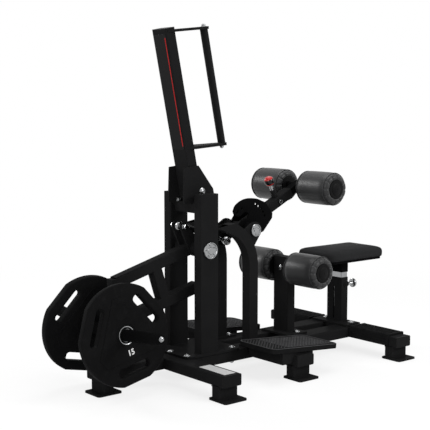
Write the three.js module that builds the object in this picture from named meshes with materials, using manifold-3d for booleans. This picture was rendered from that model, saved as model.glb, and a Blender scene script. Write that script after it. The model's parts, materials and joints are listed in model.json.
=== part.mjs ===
// Standing hip thrust machine: a plate loaded lever drives a padded roller arm through a link rod.
// Millimetres, +Z up, +X from the weight plates towards the seat, right hand side at -Y.
import * as THREE from "three";
import { mergeVertices } from "three/addons/utils/BufferGeometryUtils.js";
import Module from "manifold-3d";

const wasm = await Module();
wasm.setup();

// Counts and angles
const cornerSteps = 1;
const roundSteps = 3;
const arcSteps = 5;
const shaftSides = 16;
const barSides = 24;
const degree = Math.PI / 180;
const quarterTurn = Math.PI / 2;

// Stock, gaps and cuts
const tubeWide = 100;
const tubeNarrow = 50;
const tubeWall = 3;
const tubeCorner = 6;
const plateGauge = 8;
const basePlateGauge = 10;
const capFlange = 4;
const capPlug = 14;
const seatGap = 0.3;
const runGap = 0.5;
const cutOverrun = 2;
const mergeDistance = 1e-4;

// Base frame
const footThick = 8;
const legHeight = 54;
const footLength = 120;
const footWidth = 113;
const footAhead = 65;
const footOutside = 46;
const footCorner = 12;
const legInset = 23;
const rearBeamX = -139;
const rearBeamHalf = 448;
const frontBeamX = 939;
const frontBeamHalf = 437;
const outriggerX = 331;
const outriggerHalf = 396;
const railInnerY = 35;
const spineEndX = -520;
const rearLegInset = 45;

// Posts and arches
const postInnerY = 84;
const postTopZ = 823;
const postCapHeight = 12;
const postPlateBackX = -130;
const postPlateFrontX = 175;
const postPlateHalf = 140;
const postPlateCorner = 20;
const archRadius = 190;
const archSlope = 22 * degree;
const archLegX = 256;
const archSpringZ = 485.6;
const archFootBackX = 215;
const archFootLength = 120;
const archBracketInnerY = 95;
const archBracketGauge = 10;
const archBracketRound = 38;
const archBracketRootX = 231;
const archBracketRootZ = 588;
const archBracketRootRound = 54;

// Pivots
const leverPivotZ = 577;
const leverCapRadius = 37.5;
const leverCapThick = 11;
const swingPivotX = 289;
const swingPivotZ = 641;
const swingCapRadius = 29;
const swingCapThick = 10;
const shaftRadius = 17.5;

// Tower and handle
const towerLean = 11.6 * degree;
const towerFootX = 2.6;
const towerFootZ = 800;
const towerLength = 742;
const towerCapThick = 5;
const cheekReach = 88;
const cheekHeight = 149;
const cheekDrop = 10;
const cheekShares = [
  [-1, 0.1],
  [-0.94, -0.3],
  [-0.8, -1],
  [0.9, -1],
  [0.96, 0],
  [0.96, 2.2],
];
const bridgeHalf = 38;
const bridgeHeight = 48;
const handleReach = 219;
const handleRadius = 17.5;
const handleLowU = 186;
const handleHighU = 708;
const handlePlateGauge = 12;
const handlePlateHalf = 60;
const handlePlateRound = 23;
const handleEarX = -20;
const handleLowTurn = 8.6 * degree;
const handleHighTurn = 5.1 * degree;
const handleSink = 3;

// Weight lever
const leverSlope = 15.5 * degree;
const leverBeamAhead = 28;
const leverEndBackX = -434;
const leverEndTopZ = 480;
const leverEndBottomZ = 228;
const leverLowerZ = 391;
const leverLowerSlope = 14.3 * degree;
const leverLowerAheadX = 25;
const strutTopX = -208;
const strutLean = 17.6 * degree;
const leverHubRadius = 30;
const leverHubHalf = 80;
const leverArmX = -63;
const leverArmZ = 678;
const leverArmRound = 20;
const leverArmRoot = 36;
const pinRadius = 6;
const pinCollarRadius = 11;
const pinHeadRadius = 14;
const pinHeadThick = 18;

// Weight horns and plates
const hornRadius = 25;
const hornZ = 255;
const hornTilt = 6.2 * degree;
const hornLength = 399;
const hornStopRadius = 55;
const hornStopThick = 9;
const discRadius = 213.5;
const discThick = 40;
const discInnerY = 122;
const discHubRise = 3;
const discHubReach = 162;
const discHubOpen = 9 * degree;
const discFlatDistance = 203;
const discFlatAngles = { right: 162 * degree, left: 138 * degree };
const discCount = 3;
const slotRadius = 144;
const slotLength = 156;
const slotWidth = 36;
const slotCorner = 14;
const discBoreGap = 0.6;

// Link rod
const linkEyeRadius = 20;
const linkEyeHalf = 10;
const linkRodRadius = 11;
const linkPlay = 5;
const crankX = -81;
const crankZ = -53;
const crankRound = 24;
const crankNutThick = 8;

// Cam plates: points about the swing pivot as shares of the plate's reach
const camReach = 162;
const camInnerY = 37;
const camGauge = 8;
const camHubRadius = 30;
const camThroatShares = [
  [0.05, 0.31],
  [0.086, 0.42],
];
const camHookShares = [
  [0.0, 0.478],
  [-0.074, 0.475],
  [-0.235, 0.377],
  [-0.33, 0.37],
  [-0.44, 0.426],
  [-0.488, 0.525],
];
const camBackShares = [
  [-0.407, 0.685],
  [-0.222, 0.802],
  [-0.025, 0.858],
  [0.18, 0.864],
  [0.414, 0.833],
  [0.586, 0.765],
];
const camNoseShares = [
  [0.71, 0.722],
  [1, 0.389],
  [0.988, 0.247],
  [0.648, -0.123],
  [0.19, -0.235],
];
const camRound = 49;
const camLeftRound = 36;
const camTipX = -54;
const camTipZ = 82;
const camTipRadius = 10;
const camSpacerX = 134;
const camSpacerZ = 27;
const camRearSpacerX = -39;
const camRearSpacerZ = -7;
const camSpacerRadius = 6;
const camHoleX = -27;
const camHoleZ = 95;
const camHoleRadius = 7.5;
const selectorRadius = 125;
const selectorStep = 9.2 * degree;
const selectorCount = 5;
const selectorHole = 5.5;
const selectorMargin = 13;
const selectorPinRadius = 4.8;
const selectorKnobRadius = 13;
const selectorKnobLength = 26;

// Roller arm
const armAngle = 26 * degree;
const armLength = 340;
const armHeight = 47;
const armHubRadius = 30;
const armCavityStart = 36;
const axleReach = 403;
const sliderTail = 180;
const sliderBeyond = 20;
const sliderPlay = 0.8;
const popPinReach = 253;
const popCollarTop = 60;
const popCollarRadius = 12;
const popBossTop = 36;
const popBossRadius = 15;
const popStemRadius = 5;
const popKnobHeight = 108;
const popKnobRadius = 24;
const armBossRadius = 12;
const armBossThick = 8;

// Rollers
const axleRadius = 12.5;
const rollerRadius = 76;
const rollerInnerY = 54;
const rollerLength = 210;
const rollerRim = 20;
const rollerCapRadius = 46;
const rollerRecess = 9;
const rollerCrown = 1.5;
const rollerCreases = 12;
const rollerRimShares = [
  [0.7, 0],
  [0.25, 0.22],
  [0.03, 0.75],
];
const creaseShare = 0.1;
const creaseDepth = 2.2;
const axleCollarRadius = 18;
const axleDiscRadius = 30;
const axleDiscThick = 4;

// Lower roller post
const lowerPostX = 572;
const lowerPostTopZ = 484;
const lowerAxleZ = 432;
const lowerPlateBehind = 62;
const lowerPlateLength = 125;
const lowerPlateHalf = 95;

// Seat
const seatPostAhead = 3;
const seatPostTopZ = 346;
const seatSleeveZ = 373;
const seatStemTailZ = 196;
const seatPlateBehind = 57;
const seatPlateLength = 100;
const seatPlateHalf = 118;
const seatSlotWidth = 7;
const seatSlotBottomZ = 136;
const seatSlotTopZ = 300;
const seatBoardZ = 432;
const seatBoardThick = 12;
const seatBoardInset = 14;
const padBehind = 177;
const padLength = 395;
const padHalf = 130;
const padHeight = 56;
const padCrown = 11;
const padCorner = 42;
const padDrawIn = 5;
const padRimRound = 14;
const padCornerSteps = 4;
const padSideShare = 0.35;
const padTurnShare = 0.3;
const padCrownShares = [
  [0.35, 0.55],
  [0.7, 0.92],
];
const seatPinZ = 300;
const seatPinRadius = 5;
const seatPinBossRadius = 14;
const seatPinBossLength = 44;
const seatKnobRadius = 23;
const seatKnobThick = 12;
const seatKnobWaist = 8;
const seatKnobReach = 37;

// Step plates and beam covers
const stepBackX = 155;
const stepLength = 405;
const stepRailGap = 5;
const stepWidth = 239;
const stepThick = 20;
const stepBackTopZ = 157;
const stepSlope = 4.6 * degree;
const stepCorner = 30;
const stepBoxBackX = 215;
const stepBoxLength = 185;
const stepBoxBottomZ = 78;
const stepBoxWall = 5;
const stepBoxInset = 8;
const coverRailGap = 2;
const coverLength = 252;
const coverTop = 8;
const coverSide = 6;
const coverDrop = 46;
const coverCorner = 5;

// Places that follow
const bore = 2 * tubeWall;
const boreCorner = tubeCorner - tubeWall;
const baseBottom = footThick + legHeight;
const baseTop = baseBottom + tubeNarrow;
const baseMiddle = baseBottom + tubeNarrow / 2;
const railMiddleY = railInnerY + tubeWide / 2;
const railOuterY = railInnerY + tubeWide;
const stepInnerY = railOuterY + stepRailGap;
const coverInnerY = railOuterY + coverRailGap;
const seatPostX = frontBeamX + seatPostAhead;
const padBackX = seatPostX - padBehind;
const postMiddleY = postInnerY + tubeNarrow / 2;
const postOuterY = postInnerY + tubeNarrow;
const postBottomZ = baseTop + basePlateGauge;
const hornX = leverEndBackX - hornRadius - seatGap;
const crankEndX = swingPivotX + crankX;
const crankEndZ = swingPivotZ + crankZ;
const linkLength = Math.hypot(crankEndX - leverArmX, crankEndZ - leverArmZ);
const linkSlope = Math.atan2(crankEndZ - leverArmZ, crankEndX - leverArmX);
const sliderWidth = tubeNarrow - bore - sliderPlay;
const sliderHeight = armHeight - bore - sliderPlay;
const stemWidthX = tubeNarrow - bore - sliderPlay;
const stemWidthY = tubeWide - bore - sliderPlay;
const modelMiddleX = (hornX - discRadius + padBackX + padLength) / 2;

// Finishes
const paintGrey = () => new THREE.MeshStandardMaterial({ color: 0x3b3c3f, roughness: 0.5, metalness: 0.3 });
const paintBlack = () => new THREE.MeshStandardMaterial({ color: 0x1c1c1e, roughness: 0.55, metalness: 0.2 });
const chrome = () => new THREE.MeshStandardMaterial({ color: 0xd8dadd, roughness: 0.15, metalness: 1 });
const rubber = () => new THREE.MeshStandardMaterial({ color: 0x161617, roughness: 0.85, metalness: 0 });
const plastic = () => new THREE.MeshStandardMaterial({ color: 0x19191a, roughness: 0.6, metalness: 0 });
const padding = () => new THREE.MeshStandardMaterial({ color: 0x1f1f21, roughness: 0.7, metalness: 0 });
const redPlastic = () => new THREE.MeshStandardMaterial({ color: 0xb3261e, roughness: 0.45, metalness: 0 });

// A geometry as a closed solid with its faces outwards
function solid(geometry) {
  const loose = geometry.index ? geometry.toNonIndexed() : geometry.clone();
  const bare = new THREE.BufferGeometry().setAttribute("position", loose.getAttribute("position"));
  const merged = mergeVertices(bare, mergeDistance);
  const place = merged.getAttribute("position");
  const faces = [];
  for (let i = 0; i < merged.index.count; i += 3) {
    const [a, b, c] = [0, 1, 2].map((step) => merged.index.getX(i + step));
    if (a !== b && b !== c && a !== c) faces.push([a, b, c]);
  }
  const corner = (i) => new THREE.Vector3().fromBufferAttribute(place, i);
  const volume = faces.reduce((sum, [a, b, c]) => sum + corner(a).dot(corner(b).cross(corner(c))), 0);
  const ordered = volume < 0 ? faces.map(([a, b, c]) => [a, c, b]) : faces;
  const triVerts = new Uint32Array(ordered.flat());
  return new wasm.Manifold(new wasm.Mesh({ numProp: 3, vertProperties: place.array, triVerts }));
}

function geometryOf(body) {
  const mesh = body.getMesh();
  const points = new Float32Array(mesh.numVert * 3);
  for (let i = 0; i < mesh.numVert; i += 1) {
    points.set(mesh.vertProperties.subarray(i * mesh.numProp, i * mesh.numProp + 3), i * 3);
  }
  const geometry = new THREE.BufferGeometry();
  geometry.setAttribute("position", new THREE.BufferAttribute(points, 3));
  geometry.setIndex(new THREE.BufferAttribute(new Uint32Array(mesh.triVerts), 1));
  geometry.computeVertexNormals();
  return geometry;
}

const join = (...bodies) => bodies.reduce((all, body) => all.add(body));
const cut = (body, ...tools) => tools.reduce((rest, tool) => rest.subtract(tool), body);

// Outlines
function roundedRectangle(width, height, corner) {
  const shape = new THREE.Shape();
  const x = width / 2 - corner;
  const y = height / 2 - corner;
  shape.absarc(x, y, corner, 0, quarterTurn);
  shape.absarc(-x, y, corner, quarterTurn, 2 * quarterTurn);
  shape.absarc(-x, -y, corner, 2 * quarterTurn, 3 * quarterTurn);
  shape.absarc(x, -y, corner, 3 * quarterTurn, 4 * quarterTurn);
  return shape;
}

// Outline round two circles, such as a crank
function strapOutline(ax, ay, ra, bx, by, rb) {
  const along = Math.atan2(by - ay, bx - ax);
  const turn = Math.acos((ra - rb) / Math.hypot(bx - ax, by - ay));
  const shape = new THREE.Shape();
  shape.absarc(ax, ay, ra, along + turn, along - turn + 4 * quarterTurn);
  shape.absarc(bx, by, rb, along - turn, along + turn);
  return shape;
}

function outlineFrom(points) {
  return new THREE.Shape(points.map(([x, y]) => new THREE.Vector2(x, y)));
}

// Solids by their limits
function box(x0, x1, y0, y1, z0, z1) {
  const geometry = new THREE.BoxGeometry(x1 - x0, y1 - y0, z1 - z0);
  return solid(geometry.translate((x0 + x1) / 2, (y0 + y1) / 2, (z0 + z1) / 2));
}

function extrude(shape, depth, steps = cornerSteps) {
  return new THREE.ExtrudeGeometry(shape, { depth, bevelEnabled: false, curveSegments: steps });
}

// An outline in X and Z made thick from y0 to y1
function sideSlab(shape, y0, y1, steps = arcSteps) {
  return solid(extrude(shape, y1 - y0, steps).rotateX(quarterTurn).translate(0, y1, 0));
}

// An outline in X and Y made thick from z0 to z1
function flatSlab(shape, z0, z1, steps = cornerSteps) {
  return solid(extrude(shape, z1 - z0, steps).translate(0, 0, z0));
}

function rodY(radius, x, z, y0, y1, sides = shaftSides) {
  const geometry = new THREE.CylinderGeometry(radius, radius, y1 - y0, sides);
  return solid(geometry.translate(x, (y0 + y1) / 2, z));
}

function rodZ(radius, x, y, z0, z1, sides = shaftSides) {
  const geometry = new THREE.CylinderGeometry(radius, radius, z1 - z0, sides);
  return solid(geometry.rotateX(quarterTurn).translate(x, y, (z0 + z1) / 2));
}

function rodX(radius, y, z, x0, x1, sides = shaftSides) {
  const geometry = new THREE.CylinderGeometry(radius, radius, x1 - x0, sides);
  return solid(geometry.rotateZ(quarterTurn).translate((x0 + x1) / 2, y, z));
}

// Rectangular tube with round corners: width is across Y, or X for an upright or a cross tube
function barX(x0, x1, y, z, width, height, corner) {
  const geometry = extrude(roundedRectangle(height, width, corner), x1 - x0);
  return solid(geometry.rotateY(quarterTurn).translate(x0, y, z));
}

function barY(y0, y1, x, z, width, height, corner) {
  const geometry = extrude(roundedRectangle(width, height, corner), y1 - y0);
  return solid(geometry.rotateX(quarterTurn).translate(x, y1, z));
}

function barZ(z0, z1, x, y, widthX, widthY, corner) {
  return solid(extrude(roundedRectangle(widthX, widthY, corner), z1 - z0).translate(x, y, z0));
}

function tubeX(x0, x1, y, z, width, height) {
  const inside = barX(x0 - cutOverrun, x1 + cutOverrun, y, z, width - bore, height - bore, boreCorner);
  return cut(barX(x0, x1, y, z, width, height, tubeCorner), inside);
}

function tubeY(y0, y1, x, z, width, height) {
  const inside = barY(y0 - cutOverrun, y1 + cutOverrun, x, z, width - bore, height - bore, boreCorner);
  return cut(barY(y0, y1, x, z, width, height, tubeCorner), inside);
}

function tubeZ(z0, z1, x, y, widthX, widthY) {
  const inside = barZ(z0 - cutOverrun, z1 + cutOverrun, x, y, widthX - bore, widthY - bore, boreCorner);
  return cut(barZ(z0, z1, x, y, widthX, widthY, tubeCorner), inside);
}

// The whole machine, centred over its footprint
const machine = new THREE.Group();
machine.name = "standing_hip_thrust_machine";
machine.position.x = -modelMiddleX;

function addNode(name, body, material, parent = machine) {
  const mesh = new THREE.Mesh(geometryOf(body), material);
  mesh.name = name;
  parent.add(mesh);
  return mesh;
}

// Both sides in turn: the right hand side is at -Y
const sides = [
  ["right", -1],
  ["left", 1],
];

// Lower and upper of two distances from the middle plane, on one side
const span = (side, near, far) => (side < 0 ? [-far, -near] : [near, far]);

// Base frame
function makeCrossBeam(name, x, half) {
  const tubeHalf = half - capFlange - seatGap;
  addNode(name, tubeY(-tubeHalf, tubeHalf, x, baseMiddle, tubeWide, tubeNarrow), paintGrey());
  for (const [hand, side] of sides) {
    const flangeSpan = span(side, half - capFlange, half);
    const flange = barY(...flangeSpan, x, baseMiddle, tubeWide, tubeNarrow, tubeCorner);
    const plugWide = tubeWide - bore - 2 * seatGap;
    const plugHigh = tubeNarrow - bore - 2 * seatGap;
    const plugSpan = span(side, tubeHalf - capPlug, half - capFlange);
    const plug = barY(...plugSpan, x, baseMiddle, plugWide, plugHigh, boreCorner);
    addNode(`${name}_cap_${hand}`, join(flange, plug), plastic());
  }
}

function footPlate(x, y) {
  const outline = roundedRectangle(footLength, footWidth, footCorner);
  return flatSlab(outline, 0, footThick, roundSteps).translate([x, y, 0]);
}

function makeSideFoot(name, x, half, side) {
  const outer = half - legInset;
  const top = baseBottom - seatGap;
  const leg = tubeZ(footThick, top, x, side * (outer - tubeNarrow / 2), tubeWide, tubeNarrow);
  const plateX = x + footAhead - footLength / 2;
  const plateY = side * (outer + footOutside - footWidth / 2);
  addNode(name, join(leg, footPlate(plateX, plateY)), paintGrey());
}

function makeBase() {
  makeCrossBeam("rear_beam", rearBeamX, rearBeamHalf);
  makeCrossBeam("front_beam", frontBeamX, frontBeamHalf);
  const railBack = rearBeamX + tubeWide / 2 + seatGap;
  const railFront = frontBeamX - tubeWide / 2 - seatGap;
  for (const [hand, side] of sides) {
    const rail = tubeX(railBack, railFront, side * railMiddleY, baseMiddle, tubeWide, tubeNarrow);
    addNode(`rail_${hand}`, rail, paintGrey());
    makeSideFoot(`foot_rear_${hand}`, rearBeamX, rearBeamHalf, side);
    makeSideFoot(`foot_middle_${hand}`, outriggerX, outriggerHalf, side);
    makeSideFoot(`foot_front_${hand}`, frontBeamX, frontBeamHalf, side);
  }
  const spineFront = rearBeamX - tubeWide / 2 - seatGap;
  const spineTube = tubeX(spineEndX + capFlange, spineFront, 0, baseMiddle, tubeWide, tubeNarrow);
  const spineCap = barX(spineEndX, spineEndX + capFlange, 0, baseMiddle, tubeWide, tubeNarrow, tubeCorner);
  addNode("rear_spine", join(spineTube, spineCap), paintGrey());
  const legX = spineEndX + rearLegInset;
  const leg = tubeZ(footThick, baseBottom - seatGap, legX, 0, tubeNarrow, tubeWide);
  const plate = footPlate(legX + (footLength - footWidth) / 2, 0);
  addNode("foot_rear_middle", join(leg, plate), paintGrey());
}

// Height of the step's underside over a place along X
const stepBackUnderZ = stepBackTopZ - stepThick / Math.cos(stepSlope);
const stepUnderZ = (x) => stepBackUnderZ - (x - stepBackX) * Math.tan(stepSlope);

// Outriggers with the open box that carries the step plate
function makeOutrigger(hand, side) {
  const reach = span(side, railOuterY + seatGap, outriggerHalf);
  const tube = tubeY(...reach, outriggerX, baseMiddle, tubeWide, tubeNarrow);
  const endSpan = span(side, outriggerHalf - capFlange, outriggerHalf);
  const end = barY(...endSpan, outriggerX, baseMiddle, tubeWide, tubeNarrow, tubeCorner);
  const front = stepBoxBackX + stepBoxLength;
  const profile = (inset, drop) => [
    [stepBoxBackX + inset, stepBoxBottomZ - drop],
    [front - inset, stepBoxBottomZ - drop],
    [front - inset, stepUnderZ(front - inset) - seatGap - inset],
    [stepBoxBackX + inset, stepUnderZ(stepBoxBackX + inset) - seatGap - inset],
  ];
  const inner = stepInnerY + stepBoxInset;
  const outer = stepInnerY + stepWidth - stepBoxInset;
  const shell = sideSlab(outlineFrom(profile(0, 0)), ...span(side, inner, outer));
  const hollowSpan = span(side, inner + stepBoxWall, outer - stepBoxWall);
  const hollow = sideSlab(outlineFrom(profile(stepBoxWall, cutOverrun)), ...hollowSpan);
  const tubeInside = tubeNarrow / 2 - tubeWall;
  const passX = tubeWide / 2 - tubeWall;
  const passSpan = [outriggerX - passX, outriggerX + passX];
  const passage = box(...passSpan, ...reach, baseMiddle - tubeInside, baseMiddle + tubeInside);
  addNode(`outrigger_${hand}`, join(cut(shell, hollow, passage), tube, end), paintGrey());
}

function makeStep(hand, side) {
  const group = new THREE.Group();
  const half = stepLength / 2 / Math.cos(stepSlope);
  group.position.set(stepBackX + stepLength / 2, side * (stepInnerY + stepWidth / 2), 0);
  group.position.z = stepBackTopZ - (stepLength / 2) * Math.tan(stepSlope);
  group.rotation.y = stepSlope;
  machine.add(group);
  const outline = roundedRectangle(2 * half, stepWidth, stepCorner);
  addNode(`step_${hand}`, flatSlab(outline, -stepThick, 0, arcSteps), rubber(), group);
}

function makeCover(hand, side) {
  const reach = span(side, coverInnerY, coverInnerY + coverLength);
  const back = frontBeamX - tubeWide / 2 - coverSide;
  const front = frontBeamX + tubeWide / 2 + coverSide;
  const low = baseTop - coverDrop;
  const high = baseTop + coverTop;
  const shape = roundedRectangle(front - back, high - low, coverCorner);
  const shell = sideSlab(shape, ...reach, cornerSteps).translate([(back + front) / 2, 0, (low + high) / 2]);
  const hollowX = tubeWide / 2 + seatGap;
  const hollowSpan = span(side, coverInnerY - cutOverrun, coverInnerY + coverLength + cutOverrun);
  const hollowBack = frontBeamX - hollowX;
  const hollowFront = frontBeamX + hollowX;
  const hollow = box(hollowBack, hollowFront, ...hollowSpan, low - cutOverrun, baseTop + seatGap);
  addNode(`beam_cover_${hand}`, cut(shell, hollow), rubber());
}

// Posts and the plate that they stand on
function makePost(hand, side) {
  const y = side * postMiddleY;
  const tubeTop = postTopZ - postCapHeight;
  const tube = tubeZ(postBottomZ + seatGap, tubeTop, 0, y, tubeWide, tubeNarrow);
  const cap = barZ(tubeTop, postTopZ, 0, y, tubeWide, tubeNarrow, tubeCorner);
  const holeSpan = span(side, postInnerY - cutOverrun, postOuterY + cutOverrun);
  const hole = rodY(shaftRadius + runGap, 0, leverPivotZ, ...holeSpan);
  addNode(`post_${hand}`, cut(join(tube, cap), hole), paintGrey());
}

function makePostPlate() {
  const middleX = (postPlateBackX + postPlateFrontX) / 2;
  const outline = roundedRectangle(postPlateFrontX - postPlateBackX, 2 * postPlateHalf, postPlateCorner);
  const plate = flatSlab(outline, baseTop + seatGap, postBottomZ).translate([middleX, 0, 0]);
  addNode("post_plate", plate, paintGrey());
}

// Band of the arch's side view, by the distance from its centre line
function archBand(offset, extra) {
  const centreX = archLegX - archRadius;
  const startX = tubeWide / 2 + seatGap - extra;
  const tangentX = centreX + archRadius * Math.sin(archSlope);
  const tangentZ = archSpringZ + archRadius * Math.cos(archSlope);
  const startZ = tangentZ + (tangentX - startX) * Math.tan(archSlope);
  const rise = offset / Math.cos(archSlope);
  const footZ = baseTop + plateGauge - extra;
  const shape = new THREE.Shape();
  shape.moveTo(startX, startZ + rise);
  shape.absarc(centreX, archSpringZ, archRadius + offset, quarterTurn - archSlope, 0, true);
  shape.lineTo(archLegX + offset, footZ);
  shape.lineTo(archLegX - offset, footZ);
  shape.absarc(centreX, archSpringZ, archRadius - offset, 0, quarterTurn - archSlope, false);
  shape.lineTo(startX, startZ - rise);
  return shape;
}

function makeArch(hand, side) {
  const outer = sideSlab(archBand(tubeNarrow / 2, 0), ...span(side, postInnerY, postOuterY));
  const inside = archBand(tubeNarrow / 2 - tubeWall, cutOverrun);
  const innerSpan = span(side, postInnerY + tubeWall, postOuterY - tubeWall);
  const hollow = sideSlab(inside, ...innerSpan);
  const footFront = archFootBackX + archFootLength;
  const footSpan = span(side, postInnerY - plateGauge / 2, postOuterY);
  const foot = box(archFootBackX, footFront, ...footSpan, baseTop + seatGap, baseTop + plateGauge);
  const swing = [swingPivotX, swingPivotZ, archBracketRound];
  const strap = strapOutline(...swing, archBracketRootX, archBracketRootZ, archBracketRootRound);
  const bracketOuterY = archBracketInnerY + archBracketGauge;
  const bracketSpan = span(side, archBracketInnerY, bracketOuterY);
  const withinArch = new THREE.Shape();
  const skin = archRadius + tubeNarrow / 2 - tubeWall / 2;
  withinArch.absarc(archLegX - archRadius, archSpringZ, skin, 0, 4 * quarterTurn);
  const bracket = cut(sideSlab(strap, ...bracketSpan), sideSlab(withinArch, ...bracketSpan, 4 * arcSteps));
  const holeSpan = span(side, archBracketInnerY - cutOverrun, bracketOuterY + cutOverrun);
  const hole = rodY(shaftRadius + seatGap, swingPivotX, swingPivotZ, ...holeSpan);
  addNode(`arch_${hand}`, cut(join(cut(outer, hollow), foot, bracket), hole), paintGrey());
}

// Tower, drawn along its own leaning axis
function makeTower() {
  const group = new THREE.Group();
  group.position.set(towerFootX, 0, towerFootZ);
  group.rotation.y = -towerLean;
  machine.add(group);
  const halfX = tubeNarrow / 2;
  const halfY = tubeWide / 2;
  const tube = tubeZ(0, towerLength, 0, 0, tubeNarrow, tubeWide);
  const shares = cheekShares.map(([x, z]) => [x * cheekReach, z * cheekDrop]);
  const cheekTop = [
    [halfX, cheekHeight - plateGauge],
    [-cheekReach / 2 - plateGauge, cheekHeight],
  ];
  const cheeks = sides.map(([, side]) => {
    const reach = span(side, halfY, halfY + plateGauge);
    return sideSlab(outlineFrom([...shares, ...cheekTop]), ...reach);
  });
  addNode("tower", join(tube, ...cheeks), paintGrey(), group);
  const capZ = towerLength + seatGap;
  const cap = barZ(capZ, capZ + towerCapThick, 0, 0, tubeNarrow, tubeWide, tubeCorner);
  const plugX = tubeNarrow - bore - seatGap;
  const plugY = tubeWide - bore - seatGap;
  const plug = barZ(towerLength - capPlug, capZ, 0, 0, plugX, plugY, boreCorner);
  addNode("tower_cap", join(cap, plug), plastic(), group);
  const bridgeTop = -cheekDrop - seatGap;
  const bridgeY = postInnerY - seatGap;
  const bridge = box(-bridgeHalf, bridgeHalf, -bridgeY, bridgeY, bridgeTop - bridgeHeight, bridgeTop);
  addNode("tower_bridge", bridge, paintGrey(), group);
  const outline = new THREE.Shape();
  outline.moveTo(handleEarX, -halfY);
  outline.lineTo(halfX, -handlePlateHalf);
  outline.absarc(handleReach, 0, handlePlateRound, -quarterTurn, quarterTurn);
  outline.lineTo(halfX, handlePlateHalf);
  outline.lineTo(handleEarX, halfY);
  const slotY = halfY + seatGap;
  const slot = box(-handleReach, halfX + seatGap, -slotY, slotY, 0, towerLength + tubeWide);
  const barLow = handleLowU + handlePlateGauge - handleSink;
  const barHigh = handleHighU + handleSink;
  const socket = rodZ(handleRadius + seatGap, handleReach, 0, barLow, barHigh, barSides);
  const ends = [
    ["handle_plate_low", handleLowU, handleLowU + handlePlateGauge, handleLowTurn],
    ["handle_plate_high", handleHighU, handleHighU, handleHighTurn],
  ];
  for (const [name, low, pivot, turn] of ends) {
    const flat = flatSlab(outline, low - pivot, low - pivot + handlePlateGauge, arcSteps);
    const turned = flat.translate([-handleReach, 0, 0]).rotate([0, turn / degree, 0]);
    addNode(name, cut(turned.translate([handleReach, 0, pivot]), slot, socket), paintGrey(), group);
  }
  const bar = rodZ(handleRadius, handleReach, 0, barLow + seatGap, barHigh - seatGap, barSides);
  addNode("handle_bar", bar, rubber(), group);
}

// Weight lever: hollow welded beams, a hub on the pivot and two arms for the link pin
function leverTubes(inset, ahead) {
  const width = tubeNarrow - 2 * inset;
  const upperBack = (leverEndBackX + tubeNarrow / 2) / Math.cos(leverSlope);
  const upperFront = inset ? -leverHubRadius / 2 : leverBeamAhead;
  const upper = barX(upperBack, upperFront, 0, 0, width, width, tubeCorner - inset);
  const lowerBack = (leverEndBackX + tubeNarrow / 2) / Math.cos(leverLowerSlope);
  const lower = barX(lowerBack, leverLowerAheadX + ahead, 0, 0, width, width, tubeCorner - inset);
  const strutTopZ = leverPivotZ + strutTopX * Math.tan(leverSlope);
  const strutDrop = strutTopZ - leverLowerZ - strutTopX * Math.tan(leverLowerSlope);
  const strut = barZ(-strutDrop * Math.cos(strutLean), 0, 0, 0, width, width, tubeCorner - inset);
  const endX = leverEndBackX + tubeNarrow / 2;
  const endSpan = [leverEndBottomZ + inset, leverEndTopZ - inset];
  const end = barZ(...endSpan, endX, 0, width, width, tubeCorner - inset);
  return join(
    upper.rotate([0, -leverSlope / degree, 0]).translate([0, 0, leverPivotZ]),
    lower.rotate([0, -leverLowerSlope / degree, 0]).translate([0, 0, leverLowerZ]),
    strut.rotate([0, -strutLean / degree, 0]).translate([strutTopX, 0, strutTopZ]),
    end,
  );
}

function makeLever() {
  const frame = cut(leverTubes(0, 0), leverTubes(tubeWall, cutOverrun));
  const hub = rodY(leverHubRadius, 0, leverPivotZ, -leverHubHalf, leverHubHalf);
  const armOutline = strapOutline(0, leverPivotZ, leverArmRoot, leverArmX, leverArmZ, leverArmRound);
  const arms = sides.map(([, side]) => {
    const reach = span(side, tubeNarrow / 2, tubeNarrow / 2 + plateGauge);
    return sideSlab(armOutline, ...reach);
  });
  const through = leverHubHalf + cutOverrun;
  const shaftHole = rodY(shaftRadius + runGap, 0, leverPivotZ, -through, through);
  const pinHole = rodY(pinRadius + seatGap, leverArmX, leverArmZ, -through, through);
  addNode("lever_frame", cut(join(frame, hub, ...arms), shaftHole, pinHole), paintGrey());
  const shaftHalf = postOuterY - seatGap;
  addNode("lever_shaft", rodY(shaftRadius, 0, leverPivotZ, -shaftHalf, shaftHalf), chrome());
  for (const [hand, side] of sides) {
    const reach = span(side, postOuterY + seatGap, postOuterY + leverCapThick);
    addNode(`lever_cap_${hand}`, rodY(leverCapRadius, 0, leverPivotZ, ...reach, barSides), chrome());
  }
  makeLeverPin();
}

// A pin through both cheeks, with collars that hold the link's eye in the middle
function makeLeverPin() {
  const innerY = tubeNarrow / 2;
  const headY = innerY + plateGauge + seatGap;
  const half = headY + pinHeadThick;
  const rod = (radius, reach) => rodY(radius, leverArmX, leverArmZ, ...reach);
  const ends = sides.flatMap(([, side]) => [
    rod(pinCollarRadius, span(side, linkEyeHalf + runGap, innerY - seatGap)),
    rod(pinHeadRadius, span(side, headY, half)),
  ]);
  addNode("lever_pin", join(rod(pinRadius, [-half, half]), ...ends), chrome());
}

// The crank's pin stands on the left plate alone, with the link's eye between its collar and its nut
function makeCrankPin() {
  const headY = camInnerY + camGauge + seatGap;
  const nutY = linkEyeHalf + runGap;
  const rod = (radius, ...reach) => rodY(radius, crankEndX, crankEndZ, ...reach);
  const pin = rod(pinRadius, -nutY - crankNutThick, headY + crankNutThick);
  const collar = rod(pinCollarRadius, nutY, camInnerY - seatGap);
  const nut = rod(pinCollarRadius, -nutY - crankNutThick, -nutY);
  const head = rod(pinCollarRadius, headY, headY + crankNutThick);
  addNode("crank_pin", join(pin, collar, nut, head), chrome());
}

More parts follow.
